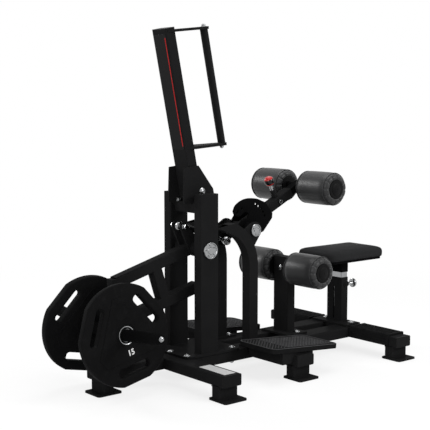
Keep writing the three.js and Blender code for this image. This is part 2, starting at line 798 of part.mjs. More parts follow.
// Weight horns and discs
function makeHorns() {
  const parts = [];
  for (const [, side] of sides) {
    const horn = rodY(hornRadius, 0, 0, ...span(side, 0, hornLength), barSides);
    const stopSpan = span(side, discInnerY - seatGap - hornStopThick, discInnerY - seatGap);
    const stop = rodY(hornStopRadius, 0, 0, ...stopSpan, barSides);
    parts.push(join(horn, stop).rotate([side * hornTilt / degree, 0, 0]));
  }
  const middle = solid(new THREE.SphereGeometry(hornRadius, barSides, barSides / 2));
  addNode("weight_horns", join(...parts, middle).translate([hornX, 0, hornZ]), paintBlack());
}

// Round outline with a flat outside each hand slot
function discOutline(flatAngle) {
  const open = Math.acos(discFlatDistance / discRadius);
  const turn = (4 * quarterTurn) / discCount;
  const shape = new THREE.Shape();
  for (let i = 0; i < discCount; i += 1) {
    const at = flatAngle + i * turn;
    shape.absarc(0, 0, discRadius, at + open, at + turn - open);
  }
  return shape;
}

// Raised middle: long edges beside the slots, with the corners between them cut
function discHubOutline(flatAngle) {
  const turn = (4 * quarterTurn) / discCount;
  const points = [];
  for (let i = 0; i < discCount; i += 1) {
    const corner = flatAngle + turn / 2 + i * turn;
    for (const at of [corner - discHubOpen, corner + discHubOpen]) {
      points.push([discHubReach * Math.cos(at), discHubReach * Math.sin(at)]);
    }
  }
  return outlineFrom(points);
}

function makeDisc(hand, side) {
  const group = new THREE.Group();
  group.position.set(hornX, 0, hornZ);
  group.rotation.x = side * hornTilt;
  machine.add(group);
  const flatAngle = discFlatAngles[hand];
  const outerY = discInnerY + discThick;
  const bodySpan = span(side, discInnerY + discHubRise, outerY - discHubRise);
  const body = sideSlab(discOutline(flatAngle), ...bodySpan, arcSteps);
  const hub = sideSlab(discHubOutline(flatAngle), ...span(side, discInnerY, outerY));
  const through = span(side, discInnerY - cutOverrun, outerY + cutOverrun);
  const slots = Array.from({ length: discCount }, (_, i) => {
    const at = flatAngle + (i * 4 * quarterTurn) / discCount;
    const slot = sideSlab(roundedRectangle(slotWidth, slotLength, slotCorner), ...through, roundSteps);
    return slot.translate([slotRadius, 0, 0]).rotate([0, -at / degree, 0]);
  });
  const hole = rodY(hornRadius + discBoreGap, 0, 0, ...through, barSides);
  addNode(`weight_disc_${hand}`, cut(join(body, hub), ...slots, hole), rubber(), group);
}

// Link rod from the lever's arm to the crank of the cam plates
function makeLink() {
  const group = new THREE.Group();
  group.position.set(leverArmX, 0, leverArmZ);
  group.rotation.y = -linkSlope;
  machine.add(group);
  const leverEye = rodY(linkEyeRadius, 0, 0, -linkEyeHalf, linkEyeHalf);
  const crankEye = rodY(linkEyeRadius, linkLength, 0, -linkEyeHalf, linkEyeHalf);
  const shankEnd = linkEyeRadius / 2 + pinRadius;
  const rod = rodX(linkRodRadius, 0, 0, shankEnd, linkLength - shankEnd);
  const shape = join(leverEye, crankEye, rod);
  const through = linkEyeHalf + cutOverrun;
  const leverHole = rodY(pinRadius + runGap, 0, 0, -through, through);
  const crankHole = rodY(pinRadius + linkPlay, linkLength, 0, -through, through);
  addNode("link_rod", cut(shape, leverHole, crankHole), chrome(), group);
}

// Right cam plate: a hook over a round hub, with the selector's nose in front
function camOutline() {
  const at = ([x, y]) => new THREE.Vector2(x * camReach, y * camReach);
  const shape = new THREE.Shape();
  const nose = camNoseShares.map(at);
  const throat = camThroatShares.map(at);
  const wholeTurn = 4 * quarterTurn;
  shape.absarc(0, 0, camRound, nose.at(-1).angle() - wholeTurn, throat[0].angle() - wholeTurn, true);
  for (const point of throat) shape.lineTo(point.x, point.y);
  shape.splineThru(camHookShares.map(at));
  shape.splineThru(camBackShares.map(at));
  for (const point of nose.slice(0, -1)) shape.lineTo(point.x, point.y);
  return shape;
}

// Place of a selector hole about the swing pivot
function selectorPlace(i) {
  const turn = armAngle + i * selectorStep;
  return [selectorRadius * Math.cos(turn), selectorRadius * Math.sin(turn)];
}

// Left cam plate: a strap to the crank and a sector over the selector holes
function leftCam() {
  const reach = [camInnerY, camInnerY + camGauge];
  const hub = rodY(camLeftRound, 0, 0, ...reach);
  const places = Array.from({ length: selectorCount }, (_, i) => selectorPlace(i));
  const sector = [...places, [camSpacerX, camSpacerZ]].map(([x, z]) => rodY(selectorMargin, x, z, ...reach));
  const strap = wasm.Manifold.hull([hub, rodY(crankRound, crankX, crankZ, ...reach)]);
  return join(strap, wasm.Manifold.hull([hub, ...sector]));
}

function makeCams() {
  const group = new THREE.Group();
  group.position.set(swingPivotX, 0, swingPivotZ);
  machine.add(group);
  const outer = camInnerY + camGauge;
  const plates = [sideSlab(camOutline(), -outer, -camInnerY, roundSteps), leftCam()];
  const hubs = sides.map(([, side]) => {
    return rodY(camHubRadius, 0, 0, ...span(side, camInnerY, archBracketInnerY - runGap));
  });
  const spacers = [
    rodY(camSpacerRadius, camSpacerX, camSpacerZ, -outer, outer),
    rodY(camSpacerRadius, camRearSpacerX, camRearSpacerZ, -outer, outer),
  ];
  const through = archBracketInnerY + cutOverrun;
  const holes = [
    rodY(shaftRadius + runGap, 0, 0, -through, through),
    rodY(pinRadius + seatGap, crankX, crankZ, -through, through),
    rodY(camHoleRadius, camHoleX, camHoleZ, -through, 0),
    rodY(camTipRadius, camTipX, camTipZ, -through, 0),
  ];
  for (let i = 0; i < selectorCount; i += 1) {
    holes.push(rodY(selectorHole, ...selectorPlace(i), -through, through, shaftSides / 2));
  }
  addNode("cam_plates", cut(join(...plates, ...hubs, ...spacers), ...holes), paintBlack(), group);
  makeCrankPin();
  const bracketOuter = archBracketInnerY + archBracketGauge;
  const shaft = rodY(shaftRadius, 0, 0, -bracketOuter - swingCapThick, bracketOuter + swingCapThick);
  const caps = sides.map(([, side]) => {
    const reach = span(side, bracketOuter + seatGap, bracketOuter + swingCapThick);
    return rodY(swingCapRadius, 0, 0, ...reach, barSides);
  });
  addNode("swing_shaft", join(shaft, ...caps), chrome(), group);
  const [pinX, pinZ] = selectorPlace(0);
  const pinTip = tubeNarrow / 2 + seatGap;
  const knobStart = outer + seatGap;
  const pin = rodY(selectorPinRadius, pinX, pinZ, pinTip, knobStart + selectorKnobLength);
  const knob = rodY(selectorKnobRadius, pinX, pinZ, knobStart, knobStart + selectorKnobLength);
  addNode("selector_pin", join(pin, knob), redPlastic(), group);
}

// Roller arm, drawn along its own axis from the swing pivot
function makeArm() {
  const group = new THREE.Group();
  group.position.set(swingPivotX, 0, swingPivotZ);
  group.rotation.y = -armAngle;
  machine.add(group);
  const halfHeight = armHeight / 2;
  const tube = barX(0, armLength, 0, 0, tubeNarrow, armHeight, tubeCorner);
  const hollowEnd = armLength + cutOverrun;
  const hollow = barX(armCavityStart, hollowEnd, 0, 0, tubeNarrow - bore, armHeight - bore, boreCorner);
  const hub = rodY(armHubRadius, 0, 0, runGap - camInnerY, camInnerY - runGap);
  const faceY = -tubeNarrow / 2;
  const sideBoss = rodY(armBossRadius, popPinReach, 0, faceY - armBossThick, faceY + tubeWall);
  const topBoss = rodZ(popBossRadius, popPinReach, 0, halfHeight - tubeWall, popBossTop);
  const collar = rodZ(popCollarRadius, popPinReach, 0, popBossTop - cutOverrun, popCollarTop);
  const shaftHole = rodY(shaftRadius + runGap, 0, 0, -camInnerY, camInnerY);
  const pinHole = rodZ(popStemRadius + runGap, popPinReach, 0, 0, popCollarTop + cutOverrun);
  const body = cut(join(cut(tube, hollow), hub, sideBoss, topBoss, collar), shaftHole, pinHole);
  addNode("arm_tube", body, paintGrey(), group);
  const sliderTop = sliderHeight / 2;
  const stem = rodZ(popStemRadius, popPinReach, 0, sliderTop + seatGap, popKnobHeight);
  const ball = new THREE.SphereGeometry(popKnobRadius, shaftSides, shaftSides / 2);
  const knob = solid(ball.rotateX(quarterTurn).translate(popPinReach, 0, popKnobHeight));
  addNode("pop_pin", join(stem, knob), redPlastic(), group);
  const slideEnd = axleReach + sliderBeyond;
  const hollowSpan = [sliderTail - cutOverrun, slideEnd + cutOverrun];
  const hollowSlide = barX(...hollowSpan, 0, 0, sliderWidth - bore, sliderHeight - bore, boreCorner / 2);
  const slide = cut(barX(sliderTail, slideEnd, 0, 0, sliderWidth, sliderHeight, boreCorner), hollowSlide);
  const axle = axleParts(axleReach, 0, sliderWidth / 2 - tubeWall / 2);
  addNode("arm_slider", join(slide, ...axle), chrome(), group);
}

// Axle through a carrier, with collars up to the rollers and discs in their outer ends
function axleParts(x, z, carrierHalf) {
  const discStart = rollerInnerY + rollerLength - rollerRecess + seatGap;
  const end = discStart + axleDiscThick;
  const axle = rodY(axleRadius, x, z, -end, end);
  const collars = sides.map(([, side]) => {
    return rodY(axleCollarRadius, x, z, ...span(side, carrierHalf, rollerInnerY - seatGap));
  });
  const discs = sides.map(([, side]) => rodY(axleDiscRadius, x, z, ...span(side, discStart, end)));
  return [axle, ...collars, ...discs];
}

// Padded roller: crowned, with rounded rims gathered in creases towards the end caps
function rollerGeometry(side) {
  const rim = rollerRim;
  const low = rollerRadius - rollerCrown;
  const hole = axleRadius + runGap;
  const far = rollerLength;
  const rise = rollerRimShares.map(([r, y]) => [low - r * rim, y * rim]);
  const fall = rise.toReversed().map(([r, y]) => [r, far - y]);
  const profile = [
    [hole, 0],
    [rollerCapRadius, 0],
    ...rise,
    [rollerRadius, far / 2],
    ...fall,
    [rollerCapRadius, far],
    [rollerCapRadius, far - rollerRecess],
    [hole, far - rollerRecess],
    [hole, 0],
  ];
  const points = profile.map(([r, y]) => new THREE.Vector2(r, y));
  const geometry = new THREE.LatheGeometry(points, 2 * rollerCreases);
  const place = geometry.getAttribute("position");
  for (let i = 0; i < place.count; i += 1) {
    const [x, y, z] = [place.getX(i), place.getY(i), place.getZ(i)];
    const radius = Math.hypot(x, z);
    const onRim = radius > rollerCapRadius + seatGap && radius < low - creaseShare * rim;
    const fold = (1 + Math.cos(rollerCreases * Math.atan2(z, x))) / 2;
    const inwards = onRim ? creaseDepth * fold * (y < far / 2 ? 1 : -1) : 0;
    place.setY(i, (y + inwards + rollerInnerY) * side);
  }
  return geometry;
}

function makeRollers(level, parent, x, z) {
  for (const [hand, side] of sides) {
    const roller = solid(rollerGeometry(side)).translate([x, 0, z]);
    addNode(`roller_${level}_${hand}`, roller, padding(), parent);
  }
}

function makeUpperRollers() {
  const group = new THREE.Group();
  const x = swingPivotX + axleReach * Math.cos(armAngle);
  const z = swingPivotZ + axleReach * Math.sin(armAngle);
  group.position.set(x, 0, z);
  machine.add(group);
  makeRollers("upper", group, 0, 0);
}

function makeLowerPost() {
  const plateBack = lowerPostX - lowerPlateBehind;
  const plateSpan = [plateBack, plateBack + lowerPlateLength, -lowerPlateHalf, lowerPlateHalf];
  const plate = box(...plateSpan, baseTop + seatGap, postBottomZ);
  const capZ = lowerPostTopZ - capFlange;
  const tube = tubeZ(postBottomZ, capZ, lowerPostX, 0, tubeNarrow, tubeWide);
  const cap = barZ(capZ, lowerPostTopZ, lowerPostX, 0, tubeNarrow, tubeWide, tubeCorner);
  const axle = axleParts(lowerPostX, lowerAxleZ, tubeWide / 2 - tubeWall / 2);
  const drainX = [lowerPostX - tubeWall, lowerPostX + tubeWall];
  const drain = box(...drainX, -tubeWall, tubeWall, baseTop, postBottomZ + cutOverrun);
  addNode("lower_post", cut(join(plate, tube, cap, ...axle), drain), paintGrey());
  makeRollers("lower", machine, lowerPostX, lowerAxleZ);
}

// Seat: fixed post, sliding stem with its sleeve and board, pad and pull pin
function makeSeatPost() {
  const plateBack = seatPostX - seatPlateBehind;
  const plateSpan = [plateBack, plateBack + seatPlateLength, -seatPlateHalf, seatPlateHalf];
  const plate = box(...plateSpan, baseTop + seatGap, postBottomZ);
  const tube = tubeZ(postBottomZ, seatPostTopZ, seatPostX, 0, tubeNarrow, tubeWide);
  const faceX = seatPostX + tubeNarrow / 2;
  const bossEnd = faceX + seatPinBossLength;
  const boss = rodX(seatPinBossRadius, 0, seatPinZ, faceX - tubeWall, bossEnd);
  const pinHole = rodX(seatPinRadius + runGap, 0, seatPinZ, seatPostX, bossEnd + cutOverrun);
  const backX = seatPostX - tubeNarrow / 2;
  const half = seatSlotWidth / 2;
  const slotX = [backX - cutOverrun, backX + tubeWall + cutOverrun];
  const slot = box(...slotX, -half, half, seatSlotBottomZ, seatSlotTopZ);
  addNode("seat_post", cut(join(plate, tube, boss), slot, pinHole), paintGrey());
  const waistStart = bossEnd + seatGap;
  const knobStart = bossEnd + seatKnobReach;
  const knobEnd = knobStart + seatKnobThick;
  const pin = join(
    rodX(seatPinRadius, 0, seatPinZ, seatPostX + stemWidthX / 2 + seatGap, knobStart),
    rodX(seatKnobWaist, 0, seatPinZ, waistStart, knobStart + seatKnobThick / 2),
    rodX(seatKnobRadius, 0, seatPinZ, knobStart, knobEnd),
  );
  addNode("seat_pin", pin, chrome());
}

function makeSeat() {
  const stemTop = seatSleeveZ + capPlug;
  const hollowSpan = [seatStemTailZ - cutOverrun, stemTop + cutOverrun];
  const hollow = barZ(...hollowSpan, seatPostX, 0, stemWidthX - bore, stemWidthY - bore, boreCorner / 2);
  const stem = cut(barZ(seatStemTailZ, stemTop, seatPostX, 0, stemWidthX, stemWidthY, boreCorner), hollow);
  addNode("seat_stem", stem, chrome());
  const sleeve = barZ(seatSleeveZ, seatBoardZ, seatPostX, 0, tubeNarrow, tubeWide, tubeCorner);
  const socketTop = stemTop + seatGap;
  const socketX = stemWidthX + 2 * seatGap;
  const socketY = stemWidthY + 2 * seatGap;
  const socket = barZ(seatSleeveZ - cutOverrun, socketTop, seatPostX, 0, socketX, socketY, boreCorner);
  const boardLength = padLength - 2 * seatBoardInset;
  const boardWidth = 2 * (padHalf - seatBoardInset);
  const outline = roundedRectangle(boardLength, boardWidth, padCorner - seatBoardInset);
  const middleX = padBackX + padLength / 2;
  const boardTop = seatBoardZ + seatBoardThick;
  const board = flatSlab(outline, seatBoardZ, boardTop, roundSteps).translate([middleX, 0, 0]);
  addNode("seat_board", join(cut(sleeve, socket), board), paintBlack());
  addNode("seat_pad", solid(padGeometry()).translate([middleX, 0, boardTop + seatGap]), padding());
}

// Seat pad: rings of a rounded outline, drawn in at the bottom, with a soft rim and a crown
function padGeometry() {
  const bottom = padHeight - seatBoardThick - seatGap;
  const rings = [
    [padDrawIn, 0],
    [0, bottom * padSideShare],
    [padDrawIn / 4, bottom - padRimRound],
    [padDrawIn, bottom - padRimRound * padTurnShare],
    [padRimRound, bottom],
    ...padCrownShares.map(([inset, rise]) => [padHalf * inset, bottom + padCrown * rise]),
  ];
  const points = [];
  for (const [inset, z] of rings) {
    const corner = Math.max(padCorner - inset, padDrawIn);
    const outline = roundedRectangle(padLength - 2 * inset, 2 * (padHalf - inset), corner);
    const ring = outline.getPoints(padCornerSteps);
    if (ring.at(-1).distanceTo(ring[0]) < mergeDistance) ring.pop();
    for (const point of ring) points.push([point.x, point.y, z]);
  }
  const count = points.length / rings.length;
  const faces = [];
  for (let level = 0; level + 1 < rings.length; level += 1) {
    for (let i = 0; i < count; i += 1) {
      const next = (i + 1) % count;
      const [a, b] = [level * count + i, level * count + next];
      faces.push([a, b, b + count], [a, b + count, a + count]);
    }
  }
  const under = points.push([0, 0, 0]) - 1;
  const top = points.push([0, 0, bottom + padCrown]) - 1;
  const last = (rings.length - 1) * count;
  for (let i = 0; i < count; i += 1) {
    const next = (i + 1) % count;
    faces.push([under, next, i], [top, last + i, last + next]);
  }
  const geometry = new THREE.BufferGeometry();
  geometry.setAttribute("position", new THREE.Float32BufferAttribute(points.flat(), 3));
  geometry.setIndex(faces.flat());
  return geometry;
}

makeBase();
for (const [hand, side] of sides) {
  makeOutrigger(hand, side);
  makeStep(hand, side);
  makeCover(hand, side);
  makePost(hand, side);
  makeArch(hand, side);
  makeDisc(hand, side);
}
makePostPlate();
makeTower();
makeLever();
makeHorns();
makeLink();
makeCams();
makeArm();
makeUpperRollers();
makeLowerPost();
makeSeatPost();
makeSeat();

export default machine;
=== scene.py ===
"""Standing hip thrust machine: finishes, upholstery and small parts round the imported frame."""

import json
import math

import bmesh
import bpy
from bpy.props import FloatProperty, FloatVectorProperty, IntProperty, PointerProperty
from mathutils import Matrix, Vector


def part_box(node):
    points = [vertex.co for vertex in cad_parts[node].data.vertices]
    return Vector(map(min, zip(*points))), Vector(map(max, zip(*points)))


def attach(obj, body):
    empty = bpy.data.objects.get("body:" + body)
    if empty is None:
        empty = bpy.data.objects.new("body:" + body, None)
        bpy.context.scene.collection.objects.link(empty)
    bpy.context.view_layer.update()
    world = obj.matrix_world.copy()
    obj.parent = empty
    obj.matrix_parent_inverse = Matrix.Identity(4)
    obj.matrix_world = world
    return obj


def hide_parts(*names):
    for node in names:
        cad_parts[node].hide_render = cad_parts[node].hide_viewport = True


bl_info = {
    "name": "Standing Hip Thrust Machine",
    "version": (1, 0, 0),
    "blender": (4, 5, 0),
    "location": "3D View > Sidebar > Hip Thrust",
    "description": "Adds the finishes, upholstery and small parts of a standing hip thrust machine",
    "category": "Add Mesh",
}

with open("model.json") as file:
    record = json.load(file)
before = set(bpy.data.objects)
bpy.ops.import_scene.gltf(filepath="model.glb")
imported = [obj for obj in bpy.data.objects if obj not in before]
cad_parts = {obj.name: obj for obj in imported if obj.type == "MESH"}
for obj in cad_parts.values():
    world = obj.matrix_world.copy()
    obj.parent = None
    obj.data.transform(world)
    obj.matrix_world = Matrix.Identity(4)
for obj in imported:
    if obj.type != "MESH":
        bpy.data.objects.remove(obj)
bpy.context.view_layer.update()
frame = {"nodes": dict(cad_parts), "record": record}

# Drawings are in millimetres, with X = 0 at the posts; the machine's frame is in metres
MM = 0.001
TURN = 2 * math.pi
QUARTER = math.pi / 2
SIDES = (("right", -1), ("left", 1))
post_low, post_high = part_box("post_right")
POSTS_X = (post_low.x + post_high.x) / 2

# Clearance between a piece and its seat
GAP = 0.3

# Base
BEAM_TOP = 112
PLATE_TOP = 122
REAR_BEAM_X = -139
FRONT_BEAM_X = 939
FOOT_TOP = 8
FOOT_POST_TOP = 61.4
FOOT_PLACES = ((REAR_BEAM_X, 400), (331, 348), (FRONT_BEAM_X, 389))
PLATE_BOLTS = ((-113, 112), (-113, -112), (-115, 0), (951, 85), (951, -85))
THROUGH_BOLTS = ((145, 110), (145, -110), (590, 69), (590, -69))
WELD_RADIUS = 2.6
WELD_PITCH = 2.5
WELD_RIPPLE = 0.12
COVER_TOP = 120
COVER_HALF = 56
COVER_REACH = (137, 389)
RIB_PITCH = 10
RIB_HEIGHTS = (80, 92, 104)

# Steps
STEP_MIDDLE = (357.5, 259.5)
STEP_HALF = (202.5, 119)
STEP_CORNER = 29.5
STEP_SLOPE = math.radians(4.6)
STEP_BACK_TOP = 157
RIM_WIDTH = 5
GRID_START = -96
GRID_BAR = 3.4
GRID_TOP = 1.3
SUNK = 0.3

# Pivots
LEVER_PIVOT = (0, 577)
SWING_PIVOT = (289, 641)
LEVER_PIN = (-63, 678)
CRANK_PIN = (208, 588)
POST_FACE = 134
SHAFT_RADIUS = 17.5
SHAFT_HALF = 105

# Cam plates and arm
CAM_REACH = 162
CAM_ROOT = 49
CAM_EYE = 36
CAM_SPACERS = ((134, 27), (-39, -7))
CAM_FACES = (37, 45)
HUB_END = 94.5
SELECTOR_REACH = 125
SELECTOR_PITCH = math.radians(9.2)
ARM_ANGLE = math.radians(26)
ARM_BOSS = 33
POP_PIN_REACH = 253
AXLE_REACH = 403

# Handle tower
TOWER_LEAN = math.radians(11.6)
TOWER_FOOT = (2.6, 0, 800)
PANEL_SIZE = (502, 86)
HANDLE_REACH = 219
GRIP_RADIUS = 17.5
GRIP_ENDS = (195.3, 710.7)

# Weight horns
HORN_PLACE = (-459.3, 0, 255)
HORN_TILT = math.radians(6.2)
HORN_RADIUS = 25
HORN_ROOT = 8
HORN_END = 399
FLANGE_RADIUS = 55
FLANGE_THICK = 9

# Weight discs
DISC_INNER = 122
DISC_BORE = 26
DISC_FLAT = 10.5
WEB_DROP = 3
WEB_EDGE = 7
SLOT_ANGLES = {"right": math.radians(162), "left": math.radians(138)}
SLOT_SIZE = (36, 156)
SLOT_CORNER = 14
SLOT_REACH = 144
HUB_REACH = 162
HUB_CUT = math.radians(9)
HUB_RISE = 3.5
HUB_EDGE = 3
HUB_RING = (46, 51)
BOSS_REACH = 104
BOSS_RADIUS = 39
NUMBER_REACH = 74
NUMBER_SIZE = 34
NUMBER_THICK = 1.4

# Rollers
LOWER_AXLE = (572, 432)
ROLLER_INNER = 54
PLEAT_INNER = 43
PLEAT_DEPTH = 5
PLEAT_TUCK = 2.4
SEAM_ANGLE = 0.015
PIPING_DEPTH = 19
CAP_RADIUS = 43.8
SWELL_FRAMES = 20

# Seat
SEAT_POST_X = 942
SEAT_PIN_Z = 300
SEAT_PULL_REACH = 81
PAD_SHARES = (0.992, 0.988)

# Studio
CAMERA_PLACE = (-2795.9, -3560.2, 1213.1)
CAMERA_TURN = math.radians(-39.5)
CAMERA_RISE = math.radians(6.2)
CAMERA_LENS = 85.93
FLOOR_SIZE = 30
LAMPS = (
    ("key", (2.2, -4.2, 3.2), (0, 0, 0.6), 2.4, 130.0),
    ("fill", (-4.2, -2.0, 2.2), (0, 0, 0.6), 3.0, 55.0),
    ("top", (0.4, 0.4, 4.6), (0, 0, 0), 3.6, 110.0),
    ("rim", (-2.8, 4.4, 2.8), (0, 0, 0.7), 1.5, 120.0))


class MachineSizes(bpy.types.PropertyGroup):
    """Sizes that a user may change"""
    roller_radius: FloatProperty(
        name="Roller radius", description="Radius of a roller's padding",
        default=0.078, min=0.05, max=0.1, unit="LENGTH")
    roller_length: FloatProperty(
        name="Roller length", description="Length of a roller's padding",
        default=0.21, min=0.1, max=0.3, unit="LENGTH")
    roller_pleats: IntProperty(
        name="Roller pleats", description="Gathers round each end of a roller",
        default=12, min=6, max=24)
    disc_radius: FloatProperty(
        name="Disc radius", description="Radius of a weight disc",
        default=0.2135, min=0.15, max=0.25, unit="LENGTH")
    disc_thickness: FloatProperty(
        name="Disc thickness", description="Thickness of a weight disc over its hub",
        default=0.04, min=0.02, max=0.06, unit="LENGTH")
    tread_pitch: FloatProperty(
        name="Tread pitch", description="Distance between the studs of a step",
        default=0.018, min=0.01, max=0.04, unit="LENGTH")


class MachineColours(bpy.types.PropertyGroup):
    """Colours that a user may change"""
    paint: FloatVectorProperty(
        name="Frame paint", description="Powder coat of the frame",
        default=(0.0122, 0.0122, 0.0125), size=3, min=0, max=1, subtype="COLOR")
    dark_paint: FloatVectorProperty(
        name="Dark paint", description="Powder coat of the cam plates, horns and seat board",
        default=(0.0042, 0.0042, 0.0044), size=3, min=0, max=1, subtype="COLOR")
    rubber: FloatVectorProperty(
        name="Rubber", description="Moulded rubber of the weight discs",
        default=(0.0068, 0.0068, 0.007), size=3, min=0, max=1, subtype="COLOR")
    cover: FloatVectorProperty(
        name="Upholstery", description="Cover of the rollers and the seat",
        default=(0.032, 0.0324, 0.0335), size=3, min=0, max=1, subtype="COLOR")
    accent: FloatVectorProperty(
        name="Accent", description="Red of the knob and the tower's stripe",
        default=(0.42, 0.012, 0.012), size=3, min=0, max=1, subtype="COLOR")
    floor: FloatVectorProperty(
        name="Floor", description="Studio floor",
        default=(0.93, 0.93, 0.93), size=3, min=0, max=1, subtype="COLOR")


# Places and drawings


def at(x, y, z):
    """A drawing's point in the machine's frame."""
    return Vector((POSTS_X + x * MM, y * MM, z * MM))


def spun(axis, angle):
    return Matrix.Rotation(angle, 4, axis)


def shift(x=0.0, y=0.0, z=0.0):
    return Matrix.Translation((x, y, z))


def place(origin=(0, 0, 0), *turns):
    """Matrix from a drawing in millimetres to the machine's frame, with turns about X, Y or Z."""
    matrix = Matrix.Translation(at(*origin))
    for axis, angle in turns:
        matrix = matrix @ spun(axis, angle)
    return matrix @ Matrix.Scale(MM, 4)


def outward(side):
    """Turn that points a drawing's Z away from the middle of the machine."""
    return "X", -side * QUARTER


def crosswise(x, z):
    """Place of a pin or shaft across the machine."""
    return place((x, 0, z), ("X", QUARTER))


def on_arm(*turns):
    """Place at the swing shaft, turned to the arm's angle."""
    x, z = SWING_PIVOT
    return place((x, 0, z), ("Y", -ARM_ANGLE), *turns)


def along_arm(reach):
    """X and Z of a point on the arm's middle line."""
    x, z = SWING_PIVOT
    return x + reach * math.cos(ARM_ANGLE), z + reach * math.sin(ARM_ANGLE)


def arc(x, y, radius, start, end, steps):
    angles = [start + (end - start) * i / steps for i in range(steps + 1)]
    return [(x + radius * math.cos(a), y + radius * math.sin(a)) for a in angles]


def circle(x, y, radius, count):
    """Closed outline of evenly spaced points."""
    return arc(x, y, radius, 0, TURN * (count - 1) / count, count - 1)


def rounded(width, height, corner, steps=5):
    """Outline of a rectangle with round corners."""
    x, y = width / 2 - corner, height / 2 - corner
    points = []
    for i, (sx, sy) in enumerate(((1, 1), (-1, 1), (-1, -1), (1, -1))):
        points += arc(sx * x, sy * y, corner, i * QUARTER, (i + 1) * QUARTER, steps)
    return points


def smooth_line(points):
    """Points along a smooth curve through the given ones."""
    steps = 5
    ends = [points[0], *points, points[-1]]
    found = []
    for a, b, c, d in zip(ends, ends[1:], ends[2:], ends[3:]):
        for i in range(steps):
            t = i / steps
            found.append(tuple(
                0.5 * (2 * q + (r - p) * t + (2 * p - 5 * q + 4 * r - s) * t * t
                       + (3 * q - p - 3 * r + s) * t ** 3)
                for p, q, r, s in zip(a, b, c, d)))
    return [*found, points[-1]]


# Shapes


def lathe(profile, steps=40):
    """Solid turned about Z from (radius, height) points."""
    shape = bmesh.new()
    verts = [shape.verts.new((radius, 0, height)) for radius, height in profile]
    edges = [shape.edges.new(pair) for pair in zip(verts, verts[1:])]
    bmesh.ops.spin(
        shape, geom=verts + edges, cent=(0, 0, 0), axis=(0, 0, 1), angle=TURN, steps=steps,
        use_merge=True)
    bmesh.ops.remove_doubles(shape, verts=shape.verts, dist=1e-4)
    bmesh.ops.recalc_face_normals(shape, faces=shape.faces)
    return shape


def rod(radius, low, high, steps=24):
    """Plain round bar along Z."""
    return lathe([(0, low), (radius, low), (radius, high), (0, high)], steps)


def bevel(shape, edges, width, segments):
    bmesh.ops.bevel(
        shape, geom=edges, offset=width, offset_type="OFFSET", segments=segments, profile=0.5,
        affect="EDGES", material=-1, clamp_overlap=True)


def block(low, high, edge, segments=2):
    """Box between two corners, with softened edges."""
    shape = bmesh.new()
    low, high = Vector(low), Vector(high)
    bmesh.ops.create_cube(shape, size=1)
    bmesh.ops.scale(shape, vec=high - low, verts=shape.verts)
    bmesh.ops.translate(shape, vec=(low + high) / 2, verts=shape.verts)
    bevel(shape, shape.edges[:], edge, segments)
    return shape


def plate(loops, low, high, edge, segments):
    """Flat plate from an outline and the outlines of its holes, with softened rims."""
    shape = bmesh.new()
    rims = []
    for loop in loops:
        verts = [shape.verts.new((x, y, low)) for x, y in loop]
        bmesh.ops.remove_doubles(shape, verts=verts, dist=1e-3)
        verts = [v for v in verts if v.is_valid]
        rims += [shape.edges.new((verts[i - 1], verts[i])) for i in range(len(verts))]
    bmesh.ops.triangle_fill(shape, edges=rims, use_beauty=True)
    bmesh.ops.dissolve_limit(
        shape, angle_limit=0.01, verts=shape.verts, edges=[e for e in shape.edges if e.is_manifold])
    made = bmesh.ops.extrude_face_region(shape, geom=shape.faces[:])
    top = [v for v in made["geom"] if isinstance(v, bmesh.types.BMVert)]
    bmesh.ops.translate(shape, verts=top, vec=(0, 0, high - low))
    bmesh.ops.recalc_face_normals(shape, faces=shape.faces)
    rims = [e for e in shape.edges if len(e.link_faces) == 2
            and abs(e.link_faces[0].normal.z - e.link_faces[1].normal.z) > 0.5]
    bevel(shape, rims, edge, segments)
    return shape


def hexagon(radius, low, high):
    return plate([circle(0, 0, radius, 6)], low, high, 0.6, 1)


def mesh_of(shape, name):
    mesh = bpy.data.meshes.new(name)
    shape.to_mesh(mesh)
    shape.free()
    return mesh


def shape_of(curve):
    """Solid made from a curve, which is then removed."""
    holder = bpy.data.objects.new(curve.name, curve)
    mesh = bpy.data.meshes.new_from_object(holder)
    shape = bmesh.new()
    shape.from_mesh(mesh)
    bmesh.ops.remove_doubles(shape, verts=shape.verts, dist=1e-4)
    bmesh.ops.recalc_face_normals(shape, faces=shape.faces)
    bpy.data.objects.remove(holder)
    bpy.data.curves.remove(curve)
    bpy.data.meshes.remove(mesh)
    return shape


def bead(points):
    """Weld bead along a closed line of points in a drawing, with ripples."""
    curve = bpy.data.curves.new("bead", "CURVE")
    curve.dimensions = "3D"
    curve.bevel_depth = WELD_RADIUS
    curve.bevel_resolution = 2
    line = curve.splines.new("POLY")
    found = []
    for a, b in zip(points, points[1:] + points[:1]):
        a, b = Vector(a), Vector(b)
        count = max(1, round((b - a).length / WELD_PITCH))
        found += [a.lerp(b, i / count) for i in range(count)]
    line.points.add(len(found) - 1)
    for i, point in enumerate(found):
        line.points[i].co = (*point, 1)
        line.points[i].radius = 1 + (WELD_RIPPLE if i % 2 else -WELD_RIPPLE)
    line.use_cyclic_u = True
    return shape_of(curve)


def digits(words, size, depth):
    """Raised plain digits, centred."""
    curve = bpy.data.curves.new("digits", "FONT")
    curve.body = words
    curve.size = size
    curve.extrude = depth / 2
    curve.align_x = "CENTER"
    curve.align_y = "CENTER"
    curve.offset = size * 0.018
    return shape_of(curve)


def linked(name, data):
    """A new object in the scene."""
    piece = bpy.data.objects.new(name, data)
    bpy.context.scene.collection.objects.link(piece)
    return piece


def gather(parts):
    """One shape in the machine's frame from (shape, matrix) pairs."""
    whole = bmesh.new()
    for shape, matrix in parts:
        bmesh.ops.transform(shape, matrix=matrix, verts=shape.verts)
        if matrix.determinant() < 0:
            bmesh.ops.recalc_face_normals(shape, faces=shape.faces)
        mesh = mesh_of(shape, "part")
        whole.from_mesh(mesh)
        bpy.data.meshes.remove(mesh)
    return whole


